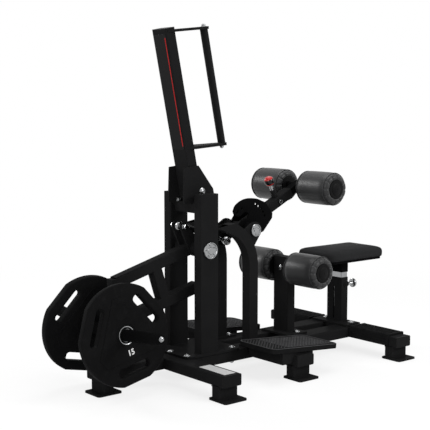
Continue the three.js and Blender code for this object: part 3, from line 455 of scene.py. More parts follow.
def laid(where, shapes):
    """Pairs of each shape and the one place of them all."""
    return [(shape, where) for shape in shapes]


def add_piece(name, parts, finish, body, replaced=(), angle=38.0):
    """A finished piece of the machine that rides on a body."""
    return add_mesh(name, mesh_of(gather(parts), name), finish, body, replaced, angle)


def add_mesh(name, mesh, finish, body, replaced, angle):
    """A piece from a mesh in place; an angle of 0 leaves all its edges soft."""
    mesh.materials.clear()
    mesh.materials.append(bpy.data.materials[finish])
    mesh.shade_smooth()
    if angle:
        mesh.set_sharp_from_angle(angle=math.radians(angle))
    piece = linked(name, mesh)
    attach(piece, body)
    if replaced:
        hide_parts(*replaced)
    return piece


# Finishes


class Wire:
    """A node's output that can be used in sums."""

    def __init__(self, nodes, socket):
        self.nodes = nodes
        self.socket = socket

    def sum(self, operation, first, second):
        return self.nodes.node("Math", {"operation": operation}, {0: first, 1: second})

    def __add__(self, other):
        return self.sum("ADD", self, other)

    def __radd__(self, other):
        return self.sum("ADD", other, self)

    def __sub__(self, other):
        return self.sum("SUBTRACT", self, other)

    def __rsub__(self, other):
        return self.sum("SUBTRACT", other, self)

    def __mul__(self, other):
        return self.sum("MULTIPLY", self, other)

    def __rmul__(self, other):
        return self.sum("MULTIPLY", other, self)

    def above(self, edge, width):
        """0 below the edge and 1 above it, over a soft width."""
        settings = {"interpolation_type": "SMOOTHSTEP"}
        return self.nodes.node("MapRange", settings, {
            "Value": self, "From Min": edge - width, "From Max": edge + width})


class Nodes:
    """A node tree that starts empty."""

    def __init__(self, tree):
        self.tree = tree
        tree.nodes.clear()

    def node(self, kind, settings, values, output=0):
        """A node with its settings, then the values or links of its sockets."""
        made = self.tree.nodes.new("ShaderNode" + kind)
        for name, value in settings.items():
            setattr(made, name, value)
        for name, value in values.items():
            if isinstance(value, Wire):
                self.tree.links.new(value.socket, made.inputs[name])
            else:
                made.inputs[name].default_value = value
        return Wire(self, made.outputs[output]) if made.outputs else None


class Finish(Nodes):
    """A material built from nodes."""

    def __init__(self, name):
        self.material = bpy.data.materials.new(name)
        self.material.use_nodes = True
        super().__init__(self.material.node_tree)
        self.place = self.node("TexCoord", {}, {}, "Object")

    def noise(self, scale, detail, roughness=0.5, stretch=None):
        """Soft mottling; a stretch draws it out along an axis."""
        vector = self.place
        if stretch:
            vector = self.node("Mapping", {}, {"Vector": vector, "Scale": stretch})
        return self.node("TexNoise", {}, {
            "Vector": vector, "Scale": scale, "Detail": detail, "Roughness": roughness})

    def mix(self, factor, first, second):
        first, second = ((*shade, 1) if isinstance(shade, tuple) else shade
                         for shade in (first, second))
        return self.node("Mix", {"data_type": "RGBA"}, {0: factor, 6: first, 7: second}, 2)

    def bump(self, height, distance, strength, normal=None):
        values = {"Height": height, "Distance": distance, "Strength": strength}
        if normal:
            values["Normal"] = normal
        return self.node("Bump", {}, values)

    def round_edges(self, radius):
        return self.node("Bevel", {"samples": 4}, {"Radius": radius})

    def surface(self, **values):
        """Principled surface; names of its sockets with _ for a blank."""
        inputs = {name.replace("_", " "): value for name, value in values.items()}
        shader = self.node("BsdfPrincipled", {}, inputs)
        self.node("OutputMaterial", {}, {"Surface": shader})
        return self.material


def lighter(colour, share):
    """The colour times a share, which darkens it below 1."""
    return tuple(min(1.0, c * share) for c in colour)


def paint_finish(name, colour, roughness):
    """Powder coat: fine orange peel, soft clouding and edges rubbed a little lighter.

    Its specular level is low, because the white surroundings would bleach the flat tops.
    """
    finish = Finish(name)
    cloud = finish.noise(9.0, 4.0, 0.6)
    peel = finish.noise(950.0, 2.0)
    soft = finish.round_edges(0.0016)
    flat = finish.node("NewGeometry", {}, {}, "Normal")
    facing = finish.node("VectorMath", {"operation": "DOT_PRODUCT"}, {0: soft, 1: flat}, "Value")
    rub = (1 - facing).above(0.05, 0.04) * finish.noise(60.0, 3.0).above(0.48, 0.12)
    shade = finish.mix(cloud, lighter(colour, 0.85), lighter(colour, 1.2))
    return finish.surface(
        Base_Color=finish.mix(rub * 0.5, shade, lighter(colour, 3.0)),
        Roughness=roughness - 0.06 + cloud * 0.12,
        Specular_IOR_Level=0.002,
        Normal=finish.bump(peel, 0.00016, 0.5, soft))


def chrome_finish(name):
    """Plated steel with soft smears and fine scratches along its length."""
    finish = Finish(name)
    smear = finish.noise(30.0, 4.0, 0.6)
    scratch = finish.noise(260.0, 2.0, 0.5, (1.0, 1.0, 0.12))
    soft = finish.round_edges(0.0008)
    return finish.surface(
        Base_Color=finish.mix(smear, (0.24, 0.245, 0.25), (0.38, 0.385, 0.39)),
        Metallic=1.0,
        Roughness=0.12 + smear * 0.12,
        Normal=finish.bump(scratch, 0.00003, 0.35, soft))


def rubber_finish(name, colour, roughness, grain=700.0):
    """Moulded rubber with a fine grain and patches of dust."""
    finish = Finish(name)
    cloud = finish.noise(14.0, 4.0, 0.6)
    fine = finish.noise(grain, 3.0, 0.6)
    dust = finish.noise(45.0, 5.0, 0.7).above(0.62, 0.12)
    shade = finish.mix(cloud, lighter(colour, 0.82), lighter(colour, 1.25))
    return finish.surface(
        Base_Color=finish.mix(dust * 0.3, shade, lighter(colour, 2.2)),
        Roughness=roughness - 0.07 + cloud * 0.14,
        Specular_IOR_Level=0.006,
        Normal=finish.bump(fine, 0.0002, 0.6, finish.round_edges(0.0012)))


def leather_finish(name, colour, sheen):
    """Grained upholstery: pebbled cells with finer pores and a soft shine."""
    finish = Finish(name)
    pebble = finish.node("TexVoronoi", {}, {"Vector": finish.place, "Scale": 620.0}, "Distance")
    pores = finish.noise(1500.0, 2.0)
    cloud = finish.noise(16.0, 4.0, 0.6)
    shade = finish.mix(cloud, lighter(colour, 0.85), lighter(colour, 1.2))
    return finish.surface(
        Base_Color=finish.mix(pebble * 0.5, shade, lighter(colour, 0.7)),
        Roughness=0.3 + pebble * 0.1 + cloud * 0.05,
        Specular_IOR_Level=sheen,
        Normal=finish.bump(pebble * 0.7 + pores * 0.4, 0.00035, 0.55))


def plastic_finish(name, colour, roughness, coat=0.0):
    """Moulded plastic, vinyl or enamel, with a clear coat where it is glossy."""
    finish = Finish(name)
    cloud = finish.noise(20.0, 3.0)
    fine = finish.noise(1100.0, 1.0)
    return finish.surface(
        Base_Color=finish.mix(cloud, lighter(colour, 0.88), lighter(colour, 1.12)),
        Roughness=roughness - 0.04 + cloud * 0.08,
        Coat_Weight=coat,
        Specular_IOR_Level=0.06,
        Normal=finish.bump(fine, 0.00008, 0.4, finish.round_edges(0.0012)))


def grip_finish(name, colour):
    """Grip sleeve with fine bands round it, painted darker in the grooves and lighter on the ridges:
    painted shade and painted highlight that follow the bands' relief.
    """
    finish = Finish(name)
    rise = finish.node("TexWave", {"wave_type": "BANDS", "bands_direction": "Z"}, {
        "Vector": finish.place, "Scale": 95.0, "Distortion": 0.0})
    grain = finish.noise(500.0, 2.0)
    return finish.surface(
        # Painted shade in the grooves and painted highlight on the ridges, following the bump's bands
        Base_Color=finish.mix(rise, lighter(colour, 0.8), lighter(colour, 1.25)),
        Roughness=0.62 + rise * 0.08,
        Specular_IOR_Level=0.05,
        Normal=finish.bump(rise * 0.7 + grain * 0.3, 0.0004, 0.6))


# The slot of each finish; the frame's own pieces take the first finish of their slot
SLOTS = {
    "Frame powder coat": "frame_paint",
    "Dark powder coat": "black_paint",
    "Chrome plate": "chrome",
    "Cap plastic": "cap_plastic",
    "Grip sleeve": "grip_rubber",
    "Disc rubber": "disc_rubber",
    "Tread rubber": "tread_rubber",
    "Upholstery": "padding",
    "Red knob plastic": "knob_plastic",
    "Roller upholstery": "padding",
    "Number paint": "disc_rubber",
    "Pale tread rubber": "tread_rubber",
    "Black knob plastic": "cap_plastic",
    "Panel vinyl": "cap_plastic",
    "Stripe vinyl": "knob_plastic",
    "Grey label": "cap_plastic",
}
CAD_FINISH = {slot: finish for finish, slot in reversed(SLOTS.items())}
# Nodes whose finish differs from their material's: the chrome arm slider is given dark paint as
# painted shade, standing for the shaded hollow end of the arm
PAINTED_SHADE_FINISH = {"arm_slider": "Dark powder coat"}


class HIPTHRUST_OT_finishes(bpy.types.Operator):
    """Make the finishes and put them on the frame"""
    bl_idname = "hipthrust.finishes"
    bl_label = "Finishes"

    def execute(self, context):
        colours = context.scene.hip_colours
        paint, dark = tuple(colours.paint), tuple(colours.dark_paint)
        rubber, accent = tuple(colours.rubber), tuple(colours.accent)
        paint_finish("Frame powder coat", paint, 0.42)
        paint_finish("Dark powder coat", dark, 0.45)
        chrome_finish("Chrome plate")
        rubber_finish("Disc rubber", rubber, 0.52)
        rubber_finish("Tread rubber", lighter(rubber, 1.4), 0.6, 900.0)
        # The studs, bars and rim on the step tops are made eleven times lighter than the disc rubber,
        # and far lighter than the step plate between them
        rubber_finish("Pale tread rubber", lighter(rubber, 11.0), 0.6, 900.0)
        leather_finish("Upholstery", lighter(colours.cover, 0.74), 0.001)
        leather_finish("Roller upholstery", lighter(colours.cover, 0.72), 0.25)
        plastic_finish("Cap plastic", dark, 0.42)
        plastic_finish("Red knob plastic", accent, 0.22, 0.5)
        plastic_finish("Black knob plastic", dark, 0.25, 0.4)
        plastic_finish("Panel vinyl", lighter(dark, 0.8), 0.4)
        plastic_finish("Stripe vinyl", accent, 0.35)
        plastic_finish("Grey label", (0.55, 0.55, 0.55), 0.4)
        plastic_finish("Number paint", (0.82, 0.82, 0.82), 0.45)
        grip_finish("Grip sleeve", lighter(rubber, 1.3))
        for part in frame["record"]["subparts"]:
            finish = PAINTED_SHADE_FINISH.get(part["node"], CAD_FINISH[part["material_slot"]])
            for held in frame["nodes"][part["node"]].material_slots:
                held.material = bpy.data.materials[finish]
        return {"FINISHED"}


# Weight discs and horns


def disc_outline(radius, turn):
    """Round outline with a flat outside each hand slot."""
    half = math.acos((radius - DISC_FLAT) / radius)
    points = []
    for i in range(3):
        start = turn + i * TURN / 3
        points += arc(0, 0, radius, start + half, start + TURN / 3 - half, 20)
    return points


def slot_outline(angle):
    """Hand slot that lies across the given direction."""
    c, s = math.cos(angle), math.sin(angle)
    return [((x + SLOT_REACH) * c - y * s, (x + SLOT_REACH) * s + y * c)
            for x, y in rounded(*SLOT_SIZE, SLOT_CORNER)]


def hub_outline(turn):
    """Long sides by the slots, with the corners between them cut."""
    corners = [turn + TURN / 6 + i * TURN / 3 for i in range(3)]
    return [(HUB_REACH * math.cos(a), HUB_REACH * math.sin(a))
            for corner in corners for a in (corner - HUB_CUT, corner + HUB_CUT)]


def disc_shell(radius, low, high, turn):
    """Web with its slots and bore, and a raised hub on both faces."""
    slots = [slot_outline(turn + i * TURN / 3) for i in range(3)]
    web = plate([disc_outline(radius, turn), *slots, circle(0, 0, DISC_BORE, 36)],
                low + WEB_DROP, high - WEB_DROP, WEB_EDGE, 3)
    hubs = [plate([hub_outline(turn), circle(0, 0, DISC_BORE + 1, 36)], a, b, HUB_EDGE, 1)
            for a, b in ((high - HUB_RISE, high), (low, low + HUB_RISE))]
    return [web, *hubs]


def disc_sleeve(low, high):
    """Steel sleeve in the bore, with a flange at both ends."""
    bore, outside = DISC_BORE - 0.4, DISC_BORE + 1
    return lathe([(bore, low + 2), (31, low + 0.2), (37, low), (37, low + 3), (outside, low + 3),
                  (outside, high - 3), (37, high - 3), (38, high + 0.3), (36.5, high + 1.2),
                  (34, high + 0.6), (33, high - 1.5), (bore, high - 2), (bore, low + 2)], 64)


def disc_boss(low, high):
    """Round boss with a sunk middle."""
    r = BOSS_RADIUS
    return lathe([(0, low), (r - 1, low), (r, low + 0.4), (r, high - 0.4), (r - 1, high),
                  (r - 5, high), (r - 6, high - 0.5), (0, high - 0.5)])


def hub_ring(face):
    """Raised ring on the hub, round the sleeve."""
    inner, outer = HUB_RING
    return lathe([(inner, face - 0.5), (outer, face - 0.5), (outer, face + 0.6),
                  (outer - 1, face + 1), (inner + 1, face + 1), (inner, face + 0.6),
                  (inner, face - 0.5)], 56)


def disc_number(lie, angle, faces):
    """The plain number on both faces, its head towards the bore."""
    marks = []
    for face, over in zip(faces, (math.pi, 0.0)):
        where = shift(NUMBER_REACH * math.cos(angle), NUMBER_REACH * math.sin(angle), face)
        marks.append((digits("15", NUMBER_SIZE, NUMBER_THICK),
                      lie @ where @ spun("Z", angle + QUARTER) @ spun("Y", over)))
    return marks


class HIPTHRUST_OT_discs(bpy.types.Operator):
    """Weight discs with hand slots, raised hubs and steel sleeves"""
    bl_idname = "hipthrust.discs"
    bl_label = "Weight discs"

    def execute(self, context):
        sizes = context.scene.hip_sizes
        radius = sizes.disc_radius / MM
        low, high = DISC_INNER, DISC_INNER + sizes.disc_thickness / MM
        for hand, side in SIDES:
            # A drawing's Z points out along the horn; its Y is up on the right and down on the left
            lie = place(HORN_PLACE, ("X", side * HORN_TILT), outward(side))
            turn = -side * SLOT_ANGLES[hand]
            disc, body = f"weight_disc_{hand}", f"disc_{hand}"
            add_piece(f"{disc}_shell", laid(lie, disc_shell(radius, low, high, turn)),
                      "Disc rubber", body, [disc])
            add_piece(f"{disc}_sleeve", [(disc_sleeve(low, high), lie)], "Chrome plate", body)
            away = turn - TURN / 6
            spot = lie @ shift(BOSS_REACH * math.cos(away), BOSS_REACH * math.sin(away))
            bosses = [(disc_boss(a, b), spot)
                      for a, b in ((high - 0.5, high + 0.7), (low - 0.7, low + 0.5))]
            add_piece(f"{disc}_boss", [*bosses, (hub_ring(high), lie)], "Disc rubber", body)
            add_piece(f"{disc}_number", disc_number(lie, turn - side * TURN / 3, (low, high)),
                      "Number paint", body)
        return {"FINISHED"}


class HIPTHRUST_OT_horns(bpy.types.Operator):
    """Weight horns with their stop flanges and end bolts"""
    bl_idname = "hipthrust.horns"
    bl_label = "Weight horns"

    def execute(self, context):
        r, flange, end = HORN_RADIUS, FLANGE_RADIUS, HORN_END
        stop = DISC_INNER - GAP
        back = stop - FLANGE_THICK
        bar = [(0, HORN_ROOT), (r, HORN_ROOT), (r, back), (flange - 1, back), (flange, back + 1),
               (flange, stop - 1), (flange - 1, stop), (r, stop), (r, end - 21),
               (r - 0.8, end - 14), (r - 3, end - 8), (r - 7, end - 3), (r - 12, end - 0.4),
               (0, end)]
        bolt = [(0, end - 0.6), (11, end - 0.6), (11, end + 0.6), (9, end + 1), (9, end + 4.5),
                (7.6, end + 7), (4.2, end + 8), (3.8, end + 5), (0, end + 5)]
        horns, bolts = [], []
        for _, side in SIDES:
            lie = place(HORN_PLACE, ("X", side * HORN_TILT), outward(side))
            horns.append((lathe(bar, 48), lie))
            bolts.append((lathe(bolt, 32), lie))
        add_piece("weight_horn_bars", horns, "Dark powder coat", "lever", ["weight_horns"])
        add_piece("weight_horn_bolts", bolts, "Chrome plate", "lever")
        return {"FINISHED"}


# Upholstery


def inflate(piece, held, cap, pressure):
    """Swells a cover as cloth under pressure, with the held points fixed and each move capped."""
    scene = bpy.context.scene
    group = piece.vertex_groups.new(name="held")
    group.add(held, 1.0, "REPLACE")
    cloth = piece.modifiers.new("Cloth", "CLOTH")
    cloth.settings.vertex_group_mass = "held"
    cloth.settings.use_pressure = True
    cloth.settings.uniform_pressure_force = pressure
    cloth.settings.effector_weights.gravity = 0
    cloth.settings.quality = 6
    cloth.collision_settings.use_collision = False
    cloth.point_cache.frame_start = 1
    cloth.point_cache.frame_end = SWELL_FRAMES
    for frame_number in range(1, SWELL_FRAMES + 1):
        scene.frame_set(frame_number)
    graph = bpy.context.evaluated_depsgraph_get()
    swollen = piece.evaluated_get(graph).data
    moved = [v.co.copy() for v in swollen.vertices]
    piece.modifiers.remove(cloth)
    piece.vertex_groups.clear()
    for vert, after in zip(piece.data.vertices, moved):
        move = after - vert.co
        vert.co += move * min(1.0, cap / max(move.length, 1e-9))
    scene.frame_set(1)


def applied(piece):
    """The piece's mesh with its modifiers applied, in place of the piece."""
    graph = bpy.context.evaluated_depsgraph_get()
    mesh = bpy.data.meshes.new_from_object(piece.evaluated_get(graph))
    bpy.data.objects.remove(piece)
    return mesh


def subdivided(mesh):
    """The mesh with its faces split once and rounded."""
    piece = linked("rough", mesh)
    finer = piece.modifiers.new("Subdivision", "SUBSURF")
    finer.levels = finer.render_levels = 1
    return applied(piece)


def relaxed(mesh, floor):
    """The mesh with its voxel steps smoothed away in two passes, above the floor."""
    shape = bmesh.new()
    shape.from_mesh(mesh)
    for _ in range(2):
        bmesh.ops.smooth_vert(
            shape, verts=[v for v in shape.verts if v.co.z > floor], factor=0.5,
            use_axis_x=True, use_axis_y=True, use_axis_z=True)
    shape.to_mesh(mesh)
    shape.free()
    return mesh


def roller_mesh(sizes):
    """Roller cover along Z from its inner end, gathered in pleats round both ends."""
    far, radius = sizes.roller_length / MM, sizes.roller_radius / MM
    pleats = sizes.roller_pleats
    rim = radius - 4
    end = [(13, 9), (28, 9), (42, 9), (43.5, 5.5), (46, 2.4), (50, 0.6), (54.5, 0), (rim - 15, 0.8),
           (rim - 10.5, 3), (rim - 6.5, 6.6), (rim - 3.6, 11.2), (rim - 1.6, 16.5), (rim - 0.4, 23)]
    height_shares = (0.152, 0.229, 0.305, 0.395, 0.486, 0.576, 0.667, 0.743, 0.819)
    middle = [(radius - 1.0 + 0.9 * math.sin(math.pi * share), far * share)
              for share in height_shares]
    profile = [*end, *middle, *((r, far - z) for r, z in reversed(end)), end[0]]
    shape = lathe(profile, 8 * pleats)
    bmesh.ops.transform(shape, matrix=Matrix.Scale(MM, 4), verts=shape.verts)
    mesh = mesh_of(shape, "roller")
    held = []
    for vert in mesh.vertices:
        reach = math.hypot(vert.co.x, vert.co.y) / MM
        z = vert.co.z / MM
        depth = min(z, far - z)
        fold = (math.atan2(vert.co.y, vert.co.x) / TURN * pleats) % 1
        on_fold = min(fold, 1 - fold) < 0.02 and PLEAT_INNER + 2 < reach < rim and depth < 20
        if on_fold:
            inward = min(1, (reach - PLEAT_INNER) / (rim - PLEAT_INNER))
            dig = PLEAT_DEPTH * math.sin(math.pi * inward) + 0.6
            vert.co.z += dig * MM * (1 if z < far / 2 else -1)
            vert.co.x *= 1 - PLEAT_TUCK / reach
            vert.co.y *= 1 - PLEAT_TUCK / reach
        if reach < PLEAT_INNER + 1.5 or on_fold:
            held.append(vert.index)
    piece = linked("roller", mesh)
    inflate(piece, held, 0.0025, 3.0)
    mesh = applied(piece)
    mesh = subdivided(mesh)
    for vert in mesh.vertices:
        angle = math.atan2(vert.co.y, vert.co.x)
        z = vert.co.z / MM
        outside = math.hypot(vert.co.x, vert.co.y) / MM > radius - 18
        if outside and abs(angle) < 3 * SEAM_ANGLE and 14 < z < far - 14:
            vert.co.x += 0.0015 if abs(angle) < SEAM_ANGLE else -0.0008
    return mesh


def roller_caps(far):
    """Outer end cap with a raised middle, and the inner one round the axle."""
    r = CAP_RADIUS
    outer = lathe([(0, far - 4.2), (r - 0.6, far - 4.2), (r, far - 3.4), (r - 0.6, far - 1.2),
                   (r - 4.8, far - 0.4), (30.5, far - 1.6), (29, far - 1.2), (28, far + 0.6),
                   (26, far + 1.6), (4.5, far + 2.0), (4, far + 1.2), (0, far + 1.2)], 48)
    inner = lathe([(20, 4.2), (r - 0.6, 4.2), (r, 3.4), (r - 0.6, 1.2), (r - 4.8, 0.4),
                   (30.5, 1.6), (20, 1.6), (20, 4.2)], 48)
    return outer, inner


class HIPTHRUST_OT_rollers(bpy.types.Operator):
    """Four padded rollers with gathered ends and end caps"""
    bl_idname = "hipthrust.rollers"
    bl_label = "Rollers"

    def execute(self, context):
        sizes = context.scene.hip_sizes
        cover = roller_mesh(sizes)
        far, radius = sizes.roller_length / MM, sizes.roller_radius / MM
        for level, (x, z) in (("upper", along_arm(AXLE_REACH)), ("lower", LOWER_AXLE)):
            for hand, side in SIDES:
                body = f"{level}_roller_{hand}"
                lie = place((x, side * ROLLER_INNER, z), outward(side))
                # The cover's seam lies below the middle at the front
                seam = math.radians(205 if side < 0 else 155)
                mesh = cover.copy()
                mesh.transform(lie @ spun("Z", seam) @ Matrix.Scale(1 / MM, 4))
                pad = add_mesh(f"roller_pad_{level}_{hand}", mesh, "Roller upholstery", body,
                               [f"roller_{level}_{hand}"], 0)
                rings = [(lathe(arc(radius - 3, depth, 2, 0, TURN, 8), 72), lie)
                         for depth in (PIPING_DEPTH, far - PIPING_DEPTH)]
                piping = add_piece(f"roller_piping_{level}_{hand}", rings, "Roller upholstery", body)
                add_piece(f"roller_cap_{level}_{hand}", laid(lie, roller_caps(far)), "Cap plastic",
                          body)
        bpy.data.meshes.remove(cover)
        return {"FINISHED"}


class HIPTHRUST_OT_seat(bpy.types.Operator):
    """Upholstered seat pad"""
    bl_idname = "hipthrust.seat"
    bl_label = "Seat pad"

    def execute(self, context):
        mesh = frame["nodes"]["seat_pad"].data.copy()
        low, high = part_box("seat_pad")
        middle = (low + high) / 2
        shape = bmesh.new()
        shape.from_mesh(mesh)
        bmesh.ops.remove_doubles(shape, verts=shape.verts, dist=1e-5)
        for vert in shape.verts:
            vert.co.x = middle.x + (vert.co.x - middle.x) * PAD_SHARES[0]
            vert.co.y = middle.y + (vert.co.y - middle.y) * PAD_SHARES[1]
        shape.to_mesh(mesh)
        shape.free()
        piece = linked("pad", mesh)
        remesh = piece.modifiers.new("Remesh", "REMESH")
        remesh.mode = "VOXEL"
        remesh.voxel_size = 0.0045
        floor = low.z + 0.004
        mesh = relaxed(applied(piece), floor)
        piece = linked("pad", mesh)
        held = [v.index for v in mesh.vertices if v.co.z < floor + 0.002]
        inflate(piece, held, 0.002, 2.5)
        mesh = relaxed(applied(piece), floor)
        pad = add_mesh("seat_pad_cover", subdivided(mesh), "Upholstery", "seat", ["seat_pad"], 0)
        return {"FINISHED"}


# Steps and covers


class HIPTHRUST_OT_steps(bpy.types.Operator):
    """Studded treads of the steps and ribs of the beam covers"""
    bl_idname = "hipthrust.steps"
    bl_label = "Steps and covers"

    def execute(self, context):
        pitch = context.scene.hip_sizes.tread_pitch / MM
        for hand, side in SIDES:
            add_piece(f"step_tread_{hand}", self.tread(side, pitch), "Pale tread rubber", "base",
                      angle=25)
            add_piece(f"beam_cover_ribs_{hand}", laid(place(), self.ribs(side)), "Tread rubber",
                      "base")
        return {"FINISHED"}

    def tread(self, side, pitch):
        """Grid of bars, rows of studs beside it and a raised rim."""
        rim_x, rim_y = STEP_HALF
        drop = STEP_BACK_TOP - rim_x * math.tan(STEP_SLOPE)
        where = place((STEP_MIDDLE[0], side * STEP_MIDDLE[1], drop), ("Y", STEP_SLOPE))
        rows = int((rim_y - 17.5) / pitch)
        places = [j * pitch for j in range(-rows, rows + 1)]
        start, end, half = GRID_START, rim_x - 21.5, GRID_BAR / 2
        bars = [block((start, y - half, -SUNK), (end, y + half, GRID_TOP), 0.4, 1) for y in places]
        for i in range(int((end - start) / pitch) + 1):
            x = start + i * pitch
            bars.append(block((x - half, places[0], -SUNK), (x + half, places[-1], GRID_TOP), 0.4, 1))
        parts = laid(where, bars)
        for i in range(5):
            for y in places:
                stud = lathe([(0, -SUNK), (3.6, -SUNK), (3.4, 1.0), (2.2, 2.0), (0, 2.3)], 8)
                parts.append((stud, where @ shift(17.5 - rim_x + i * pitch, y)))
        rim = [rounded(2 * (rim_x - cut), 2 * (rim_y - cut), STEP_CORNER - cut)
               for cut in (0, RIM_WIDTH)]
        parts.append((plate(rim, -SUNK, 1.2, 0.5, 1), where))
        return parts

    def ribs(self, side):
        """Ribs along a beam cover's top and faces, and a flat band at both ends."""
        inner, outer = sorted(side * reach for reach in COVER_REACH)
        top, margin, band = COVER_TOP, 16, 13
        ribs = []
        for i in range(-5, 6):
            x = FRONT_BEAM_X + i * RIB_PITCH
            ribs.append(block((x - 2.4, inner + margin, top - 0.4),
                              (x + 2.4, outer - margin, top + 1.3), 0.6, 1))
        for end in (-1, 1):
            x = FRONT_BEAM_X + end * (COVER_HALF + 0.7)
            for z in RIB_HEIGHTS:
                ribs.append(block((x - 0.9, inner + margin, z - 3),
                                  (x + 0.9, outer - margin, z + 3), 0.6, 1))
        for low, high in ((inner, inner + band), (outer - band, outer)):
            ribs.append(block((FRONT_BEAM_X - COVER_HALF + 1, low, top - 0.4),
                              (FRONT_BEAM_X + COVER_HALF - 1, high, top + 1.2), 0.6))
            for end in (-1, 1):
                face = FRONT_BEAM_X + end * COVER_HALF
                ribs.append(block((face - 1, low, 68), (face + 1, high, top - 1), 0.6))
        return ribs


# Pivots, pins and knobs


def dome_bolt(radius=11.0):
    """Domed socket bolt on a washer, standing on Z = 0."""
    return [
        lathe([(0, 0), (radius * 1.4, 0), (radius * 1.4, 1.2), (radius * 1.3, 1.8), (0, 1.8)], 24),
        lathe([(0, 1.8), (radius, 1.8), (radius, 3), (radius * 0.9, 5), (radius * 0.66, 6.6),
               (radius * 0.42, 7.2), (radius * 0.36, 4.6), (0, 4.6)], 24),
    ]


def nut(radius):
    """Hexagon nut with its bolt end, standing on Z = 0."""
    return [hexagon(radius, 0, 8), lathe([(0, 8), (5.5, 8), (5.5, 11), (4.8, 12), (0, 12)], 16)]


def pivot_cap(radius, thick, screws, reach):
    """Round cap with a raised rim and a ring of screws."""
    parts = [lathe([(0, 0), (radius, 0), (radius, thick * 0.6), (radius * 0.95, thick * 0.9),
                    (radius * 0.86, thick * 0.9), (radius * 0.8, thick * 0.55),
                    (radius * 0.46, thick * 0.6), (radius * 0.4, thick * 0.95),
                    (radius * 0.2, thick), (0, thick)], 48)]
    for i in range(screws):
        angle = TURN * i / screws + 0.5
        head = lathe([(0, thick * 0.7), (2.6, thick * 0.7), (2.6, thick + 0.4),
                      (1.8, thick + 1.0), (1.2, thick), (0, thick)], 12)
        bmesh.ops.translate(
            head, verts=head.verts, vec=(reach * math.cos(angle), reach * math.sin(angle), 0))
        parts.append(head)
    return parts


